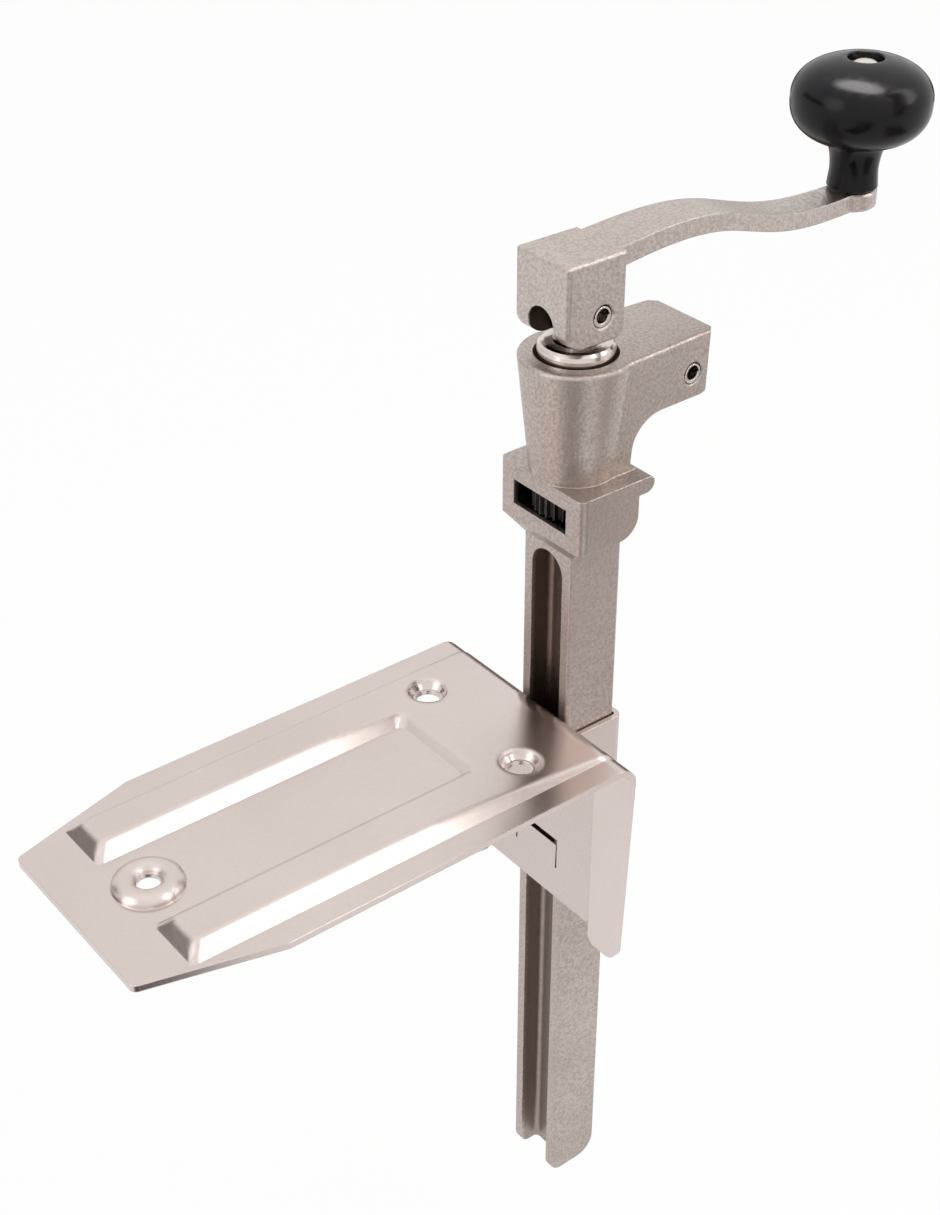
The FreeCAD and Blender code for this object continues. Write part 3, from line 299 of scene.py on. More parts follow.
def new_tree(
    kind: str, name: str, inputs: dict[str, float | int], outputs: dict[str, str]
) -> NodeSheet:
    """Start a node tree whose sizes are named inputs.

    Args:
        kind: "Shader", which is given coordinates, or "Geometry", a shape and a material.
        name: the tree's name.
        inputs: each size with its default, whole numbers for counts.
        outputs: each output with its type.

    Returns:
        The tree's sheet, with its input and output nodes in place.
    """
    tree = bpy.data.node_groups.new(name, kind + "NodeTree")
    for given in ("Vector",) if kind == "Shader" else ("Geometry", "Material"):
        tree.interface.new_socket(given, in_out="INPUT", socket_type="NodeSocket" + given)
    for label, value in inputs.items():
        number = "NodeSocketInt" if isinstance(value, int) else "NodeSocketFloat"
        socket = tree.interface.new_socket(label, in_out="INPUT", socket_type=number)
        socket.default_value = value
    for label, result in outputs.items():
        tree.interface.new_socket(label, in_out="OUTPUT", socket_type="NodeSocket" + result)
    sheet = NodeSheet(tree)
    sheet.source = tree.nodes.new("NodeGroupInput").outputs
    sheet.result = tree.nodes.new("NodeGroupOutput").inputs
    return sheet


def end_rule(sheet: NodeSheet, shape: bpy.types.NodeSocket) -> bpy.types.NodeTree:
    """Close a geometry tree: real meshes, their material and smooth shading.

    Args:
        sheet: the tree's sheet.
        shape: the socket of the finished shape.

    Returns:
        The tree.
    """
    real = sheet.add("GeometryNodeRealizeInstances", Geometry=shape)
    smooth = sheet.add("GeometryNodeSetShadeSmooth", Geometry=real.outputs[0])
    coated = sheet.add(
        "GeometryNodeSetMaterial", Geometry=smooth.outputs[0], Material=sheet.source["Material"]
    )
    sheet.end(Geometry=coated.outputs[0])
    sheet.tree.is_modifier = True
    return sheet.tree


class Rules:
    """The geometry trees of pieces that repeat, follow a path or are turned."""

    def __init__(self) -> None:
        """Build every tree."""
        self.turned = self._turned()
        self.rolled_pin = self._rolled_pin()
        self.coil = self._coil()
        self.weld_rows = self._weld_rows()

    @staticmethod
    def _turned() -> bpy.types.NodeTree:
        """An outline, drawn as distance from a circle and depth below it, swept round it.

        Returns:
            The tree.
        """
        sizes = {"Circle radius": 10 * MM, "Sides": 96}
        sheet = new_tree("Geometry", "turned form", sizes, ONE_SHAPE)
        circle = sheet.add(
            "GeometryNodeCurvePrimitiveCircle",
            Resolution=sheet.source["Sides"],
            Radius=sheet.source["Circle radius"],
        )
        outline = sheet.source["Geometry"]
        return end_rule(sheet, sheet.sweep(circle.outputs[0], outline, caps=False))

    @staticmethod
    def _rolled_pin() -> bpy.types.NodeTree:
        """A pin rolled from strip, so that its ends show a spiral.

        Returns:
            The tree.
        """
        sizes = {"Inner radius": 1.6 * MM, "Outer radius": 3.9 * MM, "Strip": 0.9 * MM}
        sizes |= {"Length": 20 * MM, "Turns": 1.6}
        sheet = new_tree("Geometry", "rolled pin", sizes, ONE_SHAPE)
        half = sheet.maths("MULTIPLY", sheet.source["Strip"], 0.5)
        spiral = sheet.add(
            "GeometryNodeCurveSpiral",
            Resolution=36,
            Rotations=sheet.source["Turns"],
            Start_Radius=sheet.maths("ADD", sheet.source["Inner radius"], half),
            End_Radius=sheet.maths("SUBTRACT", sheet.source["Outer radius"], half),
            Height=0.0,
        )
        strip = sheet.add(
            "GeometryNodeCurvePrimitiveQuadrilateral",
            Width=sheet.source["Strip"],
            Height=sheet.source["Length"],
        )
        eased = sheet.add("GeometryNodeFilletCurve", Curve=strip.outputs[0], Radius=0.22 * MM)
        return end_rule(sheet, sheet.sweep(spiral.outputs[0], eased.outputs[0]))

    @staticmethod
    def _coil() -> bpy.types.NodeTree:
        """A coil of round wire.

        Returns:
            The tree.
        """
        sizes = {"Coil radius": 5 * MM, "Wire radius": 0.6 * MM, "Rise": 3 * MM, "Turns": 2.0}
        sheet = new_tree("Geometry", "wire coil", sizes, ONE_SHAPE)
        spiral = sheet.add(
            "GeometryNodeCurveSpiral",
            Resolution=40,
            Rotations=sheet.source["Turns"],
            Start_Radius=sheet.source["Coil radius"],
            End_Radius=sheet.source["Coil radius"],
            Height=sheet.source["Rise"],
        )
        wire = sheet.add(
            "GeometryNodeCurvePrimitiveCircle", Resolution=14, Radius=sheet.source["Wire radius"]
        )
        return end_rule(sheet, sheet.sweep(spiral.outputs[0], wire.outputs[0]))

    @staticmethod
    def _weld_rows() -> bpy.types.NodeTree:
        """Rows of spot welds to both sides of the middle: low buttons with a flat top and sloped
        sides.

        Returns:
            The tree.
        """
        sizes = {"Half spacing": 40 * MM, "Pitch": 25 * MM, "Rows": 3}
        sizes |= {"Mark radius": 2.6 * MM, "Rise": 0.3 * MM}
        sheet = new_tree("Geometry", "weld rows", sizes, ONE_SHAPE)
        gaps = sheet.maths("SUBTRACT", sheet.source["Rows"], 1.0)
        points = sheet.add(
            "GeometryNodeMeshGrid",
            Size_X=sheet.maths("MULTIPLY", sheet.source["Half spacing"], 2.0),
            Size_Y=sheet.maths("MULTIPLY", sheet.source["Pitch"], gaps),
            Vertices_X=2,
            Vertices_Y=sheet.source["Rows"],
        )
        rim = sheet.add(
            "GeometryNodeMeshCone",
            Vertices=28,
            Radius_Top=sheet.maths("MULTIPLY", sheet.source["Mark radius"], 0.82),
            Radius_Bottom=sheet.source["Mark radius"],
            Depth=sheet.source["Rise"],
        )
        placed = sheet.add(
            "GeometryNodeInstanceOnPoints", Points=points.outputs[0], Instance=rim.outputs[0]
        )
        return end_rule(sheet, placed.outputs[0])


def settle(mesh: bpy.types.Mesh) -> None:
    """Close a mesh's seams, turn its faces outwards and mark its sharp edges.

    Args:
        mesh: the mesh.
    """
    work = bmesh.new()
    work.from_mesh(mesh)
    bmesh.ops.remove_doubles(work, verts=work.verts, dist=SEAM)
    bmesh.ops.recalc_face_normals(work, faces=work.faces)
    work.to_mesh(mesh)
    work.free()
    mesh.set_sharp_from_angle(angle=math.radians(CREASE))


def grow(
    piece: Piece,
    rule: bpy.types.NodeTree,
    sizes: dict[str, float | int],
    material: bpy.types.Material,
    place: Matrix,
    seed: bpy.types.Curve | None = None,
) -> bpy.types.Object:
    """Run a geometry tree and keep its result as a plain mesh that rides its body.

    Args:
        piece: what is made.
        rule: the tree.
        sizes: the tree's inputs by name.
        material: the piece's finish.
        place: turns and moves the result into the opener's frame.
        seed: the curve that the tree starts from, where it needs one.

    Returns:
        The object, at the origin, with its place in its mesh.
    """
    label = piece.name + " seed"
    source = bpy.data.objects.new(label, seed or bpy.data.meshes.new(label))
    bpy.context.scene.collection.objects.link(source)
    modifier = source.modifiers.new("rule", "NODES")
    modifier.node_group = rule
    wanted = {**sizes, "Material": material}
    for socket in rule.interface.items_tree:
        if socket.in_out == "INPUT" and socket.name in wanted:
            modifier[socket.identifier] = wanted[socket.name]
    graph = bpy.context.evaluated_depsgraph_get()
    mesh = bpy.data.meshes.new_from_object(source.evaluated_get(graph), depsgraph=graph)
    source.modifiers.remove(modifier)
    bpy.data.objects.remove(source)
    mesh.name = piece.name
    mesh.transform(place)
    settle(mesh)
    mesh.materials.clear()
    mesh.materials.append(material)
    shown = bpy.data.objects.new(piece.name, mesh)
    bpy.context.scene.collection.objects.link(shown)
    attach(shown, piece.body.value)
    if piece.node:
        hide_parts(piece.node)
    LOG.info("%s made, %d faces", piece.name, len(mesh.polygons))
    return shown


def outline_curve(name: str, points: list[tuple[float, float]], circle: float) -> bpy.types.Curve:
    """Draw a closed outline for the turned form.

    Args:
        name: the curve's name.
        points: distance from the axis and height of each corner, in metres.
        circle: radius of the circle that the outline is swept round.

    Returns:
        The curve.
    """
    curve = bpy.data.curves.new(name, "CURVE")
    curve.dimensions = "3D"
    spline = curve.splines.new("POLY")
    spline.points.add(len(points) - 1)
    for corner, (away, height) in zip(spline.points, points):
        corner.co = (away - circle, -height, 0.0, 1.0)
    spline.use_cyclic_u = True
    return curve


def quarter(
    centre: tuple[float, float], run: float, rise: float, start: float, end: float, steps: int
) -> list[tuple[float, float]]:
    """Points on an ellipse.

    Args:
        centre: distance from the axis and height of its centre.
        run: half its width.
        rise: half its height.
        start: first angle in degrees.
        end: last angle in degrees.
        steps: how many runs.

    Returns:
        The points from start to end.
    """
    points = []
    for step in range(steps + 1):
        angle = math.radians(start + (end - start) * step / steps)
        points.append((centre[0] + run * math.cos(angle), centre[1] + rise * math.sin(angle)))
    return points


class Effects:
    """Surface effects that several finishes share, each built once as a group."""

    def __init__(self) -> None:
        """Build every group."""
        self.grain = self._grain()
        self.drift = self._drift()
        self.lines = self._lines()
        self.edges = self._edges()

    @staticmethod
    def _grain() -> bpy.types.NodeTree:
        """The sandy skin of a casting, as a height and a mask of its pits.

        Returns:
            The group's tree.
        """
        sizes = {"Grains per metre": 900.0, "Lump share": 0.5}
        results = {"Height": "Float", "Pits": "Float"}
        sheet = new_tree("Shader", "casting grain", sizes, results)
        scale, place = sheet.source["Grains per metre"], sheet.source["Vector"]
        fine = sheet.noise(place, scale, 3.0, 0.62)
        cells = sheet.add(
            "ShaderNodeTexVoronoi",
            feature="SMOOTH_F1",
            Vector=place,
            Scale=sheet.maths("MULTIPLY", scale, 0.7),
            Smoothness=0.6,
        )
        lumps = sheet.maths("MULTIPLY", cells.outputs["Distance"], sheet.source["Lump share"])
        pits = sheet.spread(fine, 0.36, 0.6, 1.0, 0.0)
        sheet.end(Height=sheet.maths("ADD", fine, lumps), Pits=pits)
        return sheet.tree

    @staticmethod
    def _drift() -> bpy.types.NodeTree:
        """Slow changes of tone over a plated surface, from 0 to 1.

        Returns:
            The group's tree.
        """
        sheet = new_tree("Shader", "tone drift", {"Patches per metre": 18.0}, {"Tone": "Float"})
        noise = sheet.noise(sheet.source["Vector"], sheet.source["Patches per metre"], 2.0, 0.5)
        sheet.end(Tone=sheet.spread(noise, 0.3, 0.7, 0.0, 1.0))
        return sheet.tree

    @staticmethod
    def _lines() -> bpy.types.NodeTree:
        """Fine rolling lines of sheet, drawn out along X, as a height.

        Returns:
            The group's tree.
        """
        sizes = {"Lines per metre": 1400.0}
        sheet = new_tree("Shader", "rolling lines", sizes, {"Height": "Float"})
        stretch = sheet.add(
            "ShaderNodeMapping", Vector=sheet.source["Vector"], Scale=(0.03, 1.0, 0.35)
        )
        scale = sheet.source["Lines per metre"]
        sheet.end(Height=sheet.noise(stretch.outputs[0], scale, 2.0, 0.55))
        return sheet.tree

    @staticmethod
    def _edges() -> bpy.types.NodeTree:
        """Worn edges and painted edge highlights: the normal of a slightly rounded edge, and a mask
        of it.

        Returns:
            The group's tree.
        """
        sizes = {"Edge radius": 0.6 * MM, "Wear": 1.0}
        sheet = new_tree("Shader", "edge wear", sizes, {"Normal": "Vector", "Edge": "Float"})
        rounded = sheet.add("ShaderNodeBevel", samples=4, Radius=sheet.source["Edge radius"])
        flat = sheet.add("ShaderNodeNewGeometry").outputs["Normal"]
        match = sheet.vectors("DOT_PRODUCT", rounded.outputs[0], flat)["Value"]
        patchy = sheet.noise(sheet.source["Vector"], 220.0, 2.0, 0.6)
        rubbed_and_lit = sheet.spread(patchy, 0.35, 0.6, 0.35, 1.0)
        # The mask marks worn plating and also where the finishes paint a highlight.
        edge = sheet.maths("MULTIPLY", sheet.spread(match, 0.7, 0.985, 1.0, 0.0), rubbed_and_lit)
        worn_and_lit = sheet.maths("MULTIPLY", edge, sheet.source["Wear"])
        sheet.end(Normal=rounded.outputs[0], Edge=worn_and_lit)
        return sheet.tree


@dataclass(frozen=True)
class Finish:
    """A surface finish that can be turned into a material."""

    name: str
    colour: Colour
    shade: Colour
    roughness: float
    metallic: float = 1.0

    def start(self) -> tuple[NodeSheet, bpy.types.Material]:
        """Make an empty material with its shader and Object coordinates.

        Returns:
            The sheet, from the coordinates to the shader's inputs, and the material.
        """
        material = bpy.data.materials.new(self.name)
        sheet = blank(material)
        shader = sheet.add("ShaderNodeBsdfPrincipled", Metallic=self.metallic)
        sheet.add("ShaderNodeOutputMaterial", Surface=shader.outputs[0])
        sheet.source = sheet.add("ShaderNodeTexCoord").outputs["Object"]
        sheet.result = shader.inputs
        return sheet, material


@dataclass(frozen=True)
class CastNickel(Finish):
    """Nickel plating over a sandy casting, with painted shade where the casting is hollow."""

    grains: float = 900.0
    depth: float = 0.12 * MM
    relief: float = 0.9
    # Edge tone: worn plating, and a painted highlight along the edges.
    bright: Colour = (0.72, 0.64, 0.61)
    tint: Colour = (0.52, 0.485, 0.43)
    tint_share: float = 0.55
    shade_patches: float = 26.0
    tint_patches: float = 110.0
    edge_radius: float = 0.7 * MM
    wear_and_highlight: float = 0.85
    wear_polish: float = 0.12
    pit_share: float = 0.38
    pit_level: float = 0.42
    pit_roughness: float = 0.16
    wall_fade: float = 0.8 * MM
    # Painted shade: boxes of the casting's hollows, each with the darker tone painted in it.
    painted_shade_boxes: tuple[tuple[Box, Colour], ...] = ()

    def inside(self, sheet: NodeSheet, box: Box) -> Any:
        """Mask of a box in the opener's own frame.

        Args:
            sheet: the material's sheet.
            box: its lowest and highest corners.

        Returns:
            A socket that is 1 in the box and fades to 0 at its walls.
        """
        low, high = box
        half = (high - low) / 2
        moved = sheet.vectors("SUBTRACT", sheet.source, (low + high) / 2)[0]
        size = sheet.vectors("ABSOLUTE", moved)[0]
        parts = sheet.add("ShaderNodeSeparateXYZ", Vector=size)
        within: Any = 1.0
        for axis in range(3):
            start = half[axis] - self.wall_fade
            edge = sheet.spread(parts.outputs[axis], start, half[axis], 1.0, 0.0)
            within = sheet.maths("MULTIPLY", edge, within)
        return within

    def build(self, effects: Effects) -> bpy.types.Material:
        """Make the material.

        Args:
            effects: the shared effects.

        Returns:
            The finished material.
        """
        sheet, material = self.start()
        grain = sheet.use(effects.grain, Grains_per_metre=self.grains)
        slow = sheet.use(effects.drift, Patches_per_metre=self.shade_patches)["Tone"]
        quick = sheet.use(effects.drift, Patches_per_metre=self.tint_patches)["Tone"]
        edges = sheet.use(effects.edges, Edge_radius=self.edge_radius, Wear=self.wear_and_highlight)
        tone = sheet.blend(sheet.maths("MULTIPLY", quick, self.tint_share), self.colour, self.tint)
        tone = sheet.blend(slow, tone, self.shade)
        dark = tuple(self.pit_level * part for part in self.shade)
        tone = sheet.blend(sheet.maths("MULTIPLY", grain["Pits"], self.pit_share), tone, dark)
        # Edges lightened: partly worn plating, partly painted highlight.
        tone = sheet.blend(edges["Edge"], tone, self.bright)
        # Painted shade: each hollow's box is blended towards its darker tone.
        for box, colour in self.painted_shade_boxes:
            tone = sheet.blend(self.inside(sheet, box), tone, colour)
        matt = self.roughness + self.pit_roughness
        rough = sheet.spread(grain["Pits"], 0.0, 1.0, self.roughness, matt)
        polish = sheet.maths("MULTIPLY", edges["Edge"], self.wear_polish)
        rough = sheet.maths("SUBTRACT", rough, polish)
        normal = sheet.bump(grain["Height"], edges["Normal"], self.depth, self.relief)
        sheet.end(Base_Color=tone, Roughness=rough, Normal=normal)
        return material


@dataclass(frozen=True)
class SheetNickel(Finish):
    """Bright plated sheet with faint rolling lines."""

    depth: float = 0.004 * MM
    # Edge tone: worn plating, and a painted highlight along the edges.
    bright: Colour = (0.86, 0.78, 0.75)
    patches: float = 14.0
    patch_roughness: float = 0.06
    specks: float = 650.0
    speck_share: float = 0.08
    speck_level: float = 0.8
    speck_roughness: float = 0.02
    crisp: float = 0.5 * MM
    soft: float = 0.5 * MM
    flat_level: float = 2.7 * MM
    soft_level: float = 4.2 * MM
    wear_and_highlight: float = 0.6

    def build(self, effects: Effects) -> bpy.types.Material:
        """Make the material.

        Args:
            effects: the shared effects.

        Returns:
            The finished material.
        """
        sheet, material = self.start()
        drift = sheet.use(effects.drift, Patches_per_metre=self.patches)["Tone"]
        specks = sheet.use(effects.grain, Grains_per_metre=self.specks)["Pits"]
        lines = sheet.use(effects.lines)["Height"]
        height = sheet.add("ShaderNodeSeparateXYZ", Vector=sheet.source).outputs["Z"]
        radius = sheet.spread(height, self.flat_level, self.soft_level, self.crisp, self.soft)
        edges = sheet.use(effects.edges, Edge_radius=radius, Wear=self.wear_and_highlight)
        tone = sheet.blend(drift, self.colour, self.shade)
        dark = tuple(self.speck_level * part for part in self.shade)
        tone = sheet.blend(sheet.maths("MULTIPLY", specks, self.speck_share), tone, dark)
        # Edges lightened: partly worn plating, partly painted highlight.
        tone = sheet.blend(edges["Edge"], tone, self.bright)
        matt = self.roughness + self.patch_roughness
        rough = sheet.spread(drift, 0.0, 1.0, self.roughness, matt)
        rough = sheet.maths("ADD", rough, sheet.maths("MULTIPLY", specks, self.speck_roughness))
        normal = sheet.bump(lines, edges["Normal"], self.depth, 1.0)
        sheet.end(Base_Color=tone, Roughness=rough, Normal=normal)
        return material


@dataclass(frozen=True)
class TurnedMetal(Finish):
    """Turned or ground metal with fine marks and a little tarnish."""

    marks: float = 1500.0
    depth: float = 0.008 * MM
    relief: float = 0.6
    patches: float = 90.0
    patch_roughness: float = 0.1
    edge_radius: float = 0.3 * MM
    wear_and_highlight: float = 0.6
    # Edge tone: worn metal, and a painted highlight along the edges.
    bright: Colour = (0.82, 0.76, 0.72)

    def build(self, effects: Effects) -> bpy.types.Material:
        """Make the material.

        Args:
            effects: the shared effects.

        Returns:
            The finished material.
        """
        sheet, material = self.start()
        drift = sheet.use(effects.drift, Patches_per_metre=self.patches)["Tone"]
        grain = sheet.use(effects.grain, Grains_per_metre=self.marks)
        edges = sheet.use(effects.edges, Edge_radius=self.edge_radius, Wear=self.wear_and_highlight)
        tone = sheet.blend(drift, self.colour, self.shade)
        # Edges lightened: partly wear, partly painted highlight.
        tone = sheet.blend(edges["Edge"], tone, self.bright)
        matt = self.roughness + self.patch_roughness
        rough = sheet.spread(drift, 0.0, 1.0, self.roughness, matt)
        normal = sheet.bump(grain["Height"], edges["Normal"], self.depth, self.relief)
        sheet.end(Base_Color=tone, Roughness=rough, Normal=normal)
        return material


@dataclass(frozen=True)
class MouldedPlastic(Finish):
    """Glossy moulded plastic with a slightly uneven skin and light scuffs."""

    metallic: float = 0.0
    depth: float = 0.06 * MM
    relief: float = 0.25
    patches: float = 60.0
    scuffs: float = 260.0
    scuff_roughness: float = 0.09
    gloss: float = 1.29

    def build(self, effects: Effects) -> bpy.types.Material:
        """Make the material.

        Args:
            effects: the shared effects.

        Returns:
            The finished material.
        """
        sheet, material = self.start()
        drift = sheet.use(effects.drift, Patches_per_metre=self.patches)["Tone"]
        scuffs = sheet.use(effects.grain, Grains_per_metre=self.scuffs)["Pits"]
        tone = sheet.blend(drift, self.colour, self.shade)
        matt = self.roughness + self.scuff_roughness
        rough = sheet.spread(scuffs, 0.0, 1.0, self.roughness, matt)
        flat = sheet.add("ShaderNodeNewGeometry").outputs["Normal"]
        normal = sheet.bump(drift, flat, self.depth, self.relief)
        sheet.end(Base_Color=tone, Roughness=rough, Normal=normal, IOR=self.gloss)
        return material


@dataclass
class Workshop:
    """The frame, the rules and the finishes that the sub-assemblies draw on."""

    frame: dict[str, Any]
    effects: Effects = field(default_factory=Effects)
    rules: Rules = field(default_factory=Rules)
    made: dict[str, bpy.types.Material] = field(default_factory=dict)
    circle: float = 10.0 * MM
    pin_strip: float = 0.8 * MM
    pin_turns: float = 1.5
    pin_opening: float = 2.1

    def finish(self, finish: Finish) -> bpy.types.Material:
        """The material of a finish, built the first time it is asked for.

        Args:
            finish: the finish.

        Returns:
            The material.
        """
        if finish.name not in self.made:
            self.made[finish.name] = finish.build(self.effects)
        return self.made[finish.name]

    def steel(self, kind: Steel) -> bpy.types.Material:
        """Plain bright steel, slightly warm.

        Args:
            kind: which of the steels.

        Returns:
            The material.
        """
        name, level, roughness = kind.value
        colour, shade = (
            tuple(level * part for part in parts) for parts in (STEEL_TINT, STEEL_SHADE)
        )
        return self.finish(TurnedMetal(name, colour, shade, roughness))

    def dress(self, node: str, material: bpy.types.Material) -> None:
        """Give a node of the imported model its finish.

        Args:
            node: the node's name.
            material: the finish.
        """
        item = self.frame["nodes"][node]
        item.data.materials.clear()
        item.data.materials.append(material)
        LOG.info("%s dressed in %s", node, material.name)

    @staticmethod
    def box(node: str) -> Box:
        """Lowest and highest corners of a node, as vectors."""
        low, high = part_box(node)
        return Vector(low), Vector(high)

    def turned(
        self,
        piece: Piece,
        points: list[tuple[float, float]],
        sides: int,
        material: bpy.types.Material,
    ) -> None:
        """Put a turned piece in the place of a plain one, on its upright axis.

        Args:
            piece: the turned piece.
            points: distance from the axis and height of each corner of its outline.
            sides: how many sides the round has.
            material: its finish.
        """
        low, high = self.box(piece.node)
        place = Matrix.Translation(Vector(((low.x + high.x) / 2, 0.0, 0.0)))
        sizes = {"Circle radius": self.circle, "Sides": sides}
        seed = outline_curve(piece.name + " outline", points, self.circle)
        grow(piece, self.rules.turned, sizes, material, place, seed)

    def rolled_pin(self, piece: Piece) -> None:
        """Put a pin rolled from strip in the place of a plain one.

        Args:
            piece: the rolled pin.
        """
        low, high = self.box(piece.node)
        radius = (high.z - low.z) / 2
        sizes = {
            "Inner radius": radius - self.pin_opening * self.pin_strip,
            "Outer radius": radius,
            "Strip": self.pin_strip,
            "Length": high.y - low.y,
            "Turns": self.pin_turns,
        }
        place = Matrix.Translation((low + high) / 2) @ ALONG_Y
        grow(piece, self.rules.rolled_pin, sizes, self.steel(Steel.PINS), place)

    def coil(self, piece: Piece, wire: float, turns: float, upright: bool) -> bpy.types.Object:
        """Wind a coil in the place of a plain one.

        Args:
            piece: the coil.
            wire: thickness of its wire in metres.
            turns: how often the wire goes round.
            upright: True for a coil along z, False for one along y.

        Returns:
            The coil's object.
        """
        low, high = self.box(piece.node)
        start = (low + high) / 2
        if upright:
            start.z = low.z + wire / 2
            rise, turn = high.z - low.z - wire, Matrix.Identity(4)
        else:
            start.y = high.y - wire / 2
            rise, turn = high.y - low.y - wire, ALONG_Y
        sizes = {
            "Coil radius": (high.x - low.x - wire) / 2,
            "Wire radius": wire / 2,
            "Rise": rise,
            "Turns": turns,
        }
        place = Matrix.Translation(start) @ turn
        return grow(piece, self.rules.coil, sizes, self.steel(Steel.WIRE), place)


@dataclass
class TableBase:
    """Pressed plate with its apron, and the guide that is welded behind it."""

    shop: Workshop
    plate: SheetNickel = SheetNickel(
        "nickel sheet", (0.70, 0.615, 0.585), (0.655, 0.57, 0.54), 0.18, soft=2.6 * MM
    )
    guide: SheetNickel = SheetNickel(
        "nickel guide sheet", (0.64, 0.555, 0.53), (0.60, 0.52, 0.49), 0.24
    )
    strap_sheet: float = 2.0 * MM
    leg_column: float = 39.0 * MM
    guide_column: float = 24.0 * MM
    pitch: float = 24.0 * MM
    mark_radius: float = 2.6 * MM
    rise: float = 0.3 * MM

    def welds(self, name: str, column: float, rows: int) -> None:
        """Set rows of spot welds on the strap's flanges.

        Args:
            name: the piece's name.
            column: distance of each row from the middle plane.
            rows: how many marks one above the other.
        """
        low, high = self.shop.box("guide_strap")
        middle = Vector((low.x + self.strap_sheet + self.rise / 2, 0.0, (low.z + high.z) / 2))
        sizes = {
            "Half spacing": column,
            "Pitch": self.pitch,
            "Rows": rows,
            "Mark radius": self.mark_radius,
            "Rise": self.rise,
        }
        steel = self.shop.steel(Steel.WELDS)
        place = Matrix.Translation(middle) @ TO_STRAP
        piece = Piece(name, Body.BASE, Slot.SHEET)
        grow(piece, self.shop.rules.weld_rows, sizes, steel, place)

    def build(self) -> None:
        """Dress the sheet parts and add the weld marks."""
        self.shop.dress("base_plate", self.shop.finish(self.plate))
        for node in ("guide_plate", "guide_strap"):
            self.shop.dress(node, self.shop.finish(self.guide))
        self.welds("leg_welds", self.leg_column, 3)
        self.welds("guide_welds", self.guide_column, 2)


@dataclass
class CastBar:
    """Bar, head, tube and strut in one casting, with its bearings and the knife's pin."""

    shop: Workshop
    casting: CastNickel = CastNickel(
        "plated bar casting",
        (0.58, 0.50, 0.465),
        (0.50, 0.425, 0.39),
        0.34,
        # Painted shade inside the channel and the gear window.
        painted_shade_boxes=(UPPER_GROOVE_SHADE, LOWER_GROOVE_SHADE, GEAR_WINDOW_SHADE),
    )
    bronze: TurnedMetal = TurnedMetal(
        "bearing bronze", (0.68, 0.47, 0.24), (0.55, 0.36, 0.18), 0.3
    )

    def build(self) -> None:
        """Dress the casting and its bearings, and roll the knife's pin."""
        self.shop.dress("opener_bar", self.shop.finish(self.casting))
        for node in ("upper_bush", "lower_bush"):
            self.shop.dress(node, self.shop.finish(self.bronze))
        self.shop.dress("thrust_washer", self.shop.steel(Steel.WASHER))
        self.shop.rolled_pin(Piece("rolled_knife_pin", Body.BAR, Slot.PIN, "knife_pin"))


@dataclass
class KnifeLever:
    """Knife and the coil that presses it against the rim."""

    shop: Workshop
    wire: float = 1.2 * MM
    turns: float = 2.4

    def build(self) -> None:
        """Dress the knife and wind its spring."""
        self.shop.dress("knife", self.shop.steel(Steel.KNIFE))
        piece = Piece("knife_coil", Body.KNIFE, Slot.PIN, "knife_spring")
        self.shop.coil(piece, self.wire, self.turns, False)


@dataclass
class FeedArbor:
    """Arbor with its sprung ring and the drive gear."""

    shop: Workshop
    wire: float = 0.8 * MM
    turns: float = 1.5
    ring_travel: float = 3.4 * MM

    def ring_coil(self) -> None:
        """Wind the ring's coil, which rides down with the ring."""
        piece = Piece("ring_coil", Body.RING, Slot.PIN, "ring_spring")
        coil = self.shop.coil(piece, self.wire, self.turns, True)
        low, high = self.shop.box(piece.node)
        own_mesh(coil)

    def build(self) -> None:
        """Dress the turning parts and wind the ring's coil."""
        self.shop.dress("arbor", self.shop.steel(Steel.ARBOR))
        self.shop.dress("thrust_ring", self.shop.steel(Steel.RING))
        self.ring_coil()
        self.shop.dress("gear_pin", self.shop.steel(Steel.PINS))
        self.shop.dress("drive_gear", self.shop.steel(Steel.GEAR))


@dataclass
class CrankArm:
    """Clevis hub, cranked arm and boss, with the pin in the hub and the knob's stud."""

    shop: Workshop
    # Painted light: this casting's tone is brighter than the bar casting's, standing in for lamp
    # light on the crank.
    casting: CastNickel = CastNickel(
        "plated crank casting",
        (0.64, 0.56, 0.525),
        (0.56, 0.485, 0.45),
        0.3,
        # Painted shade in the hub's mouth.
        painted_shade_boxes=(HUB_MOUTH_SHADE,),
    )
    dome_rise: float = 1.6 * MM
    stud_radius: float = 4.0 * MM
    stud_head: float = 2.6 * MM
    rivet_radius: float = 5.0 * MM
    rivet_height: float = 1.2 * MM
    rivet_edge: float = 0.6 * MM
    rivet_dish: float = 0.2 * MM
    sides: int = 48

    def stud(self) -> None:
        """Turn the riveted stud with its domed head."""
        piece = Piece("turned_stud", Body.CRANK, Slot.PIN, "knob_stud")
        low, high = self.shop.box(piece.node)
        base, head = low.z, (high.x - low.x) / 2
        edge, rivet = self.rivet_edge, self.rivet_radius
        top = high.z + self.dome_rise
        points = [(0.0, base + self.rivet_dish), (rivet - edge - self.rivet_dish, base)]
        points += quarter((rivet - edge, base + edge), edge, edge, -90, 0, 4)
        points += [(rivet, base + self.rivet_height), (self.stud_radius, base + self.rivet_height)]
        neck = high.z - self.stud_head
        points += [(self.stud_radius, neck), (head, neck)]
        points += quarter((0.0, top - self.stud_head), head, self.stud_head, 0, 88, 12)
        points.append((0.0, top))
        self.shop.turned(piece, points, self.sides, self.shop.steel(Steel.STUD))

    def build(self) -> None:
        """Dress the crank, roll its pin and turn its stud."""
        self.shop.dress("crank_handle", self.shop.finish(self.casting))
        self.shop.rolled_pin(Piece("rolled_crank_pin", Body.CRANK, Slot.PIN, "crank_pin"))
        self.stud()


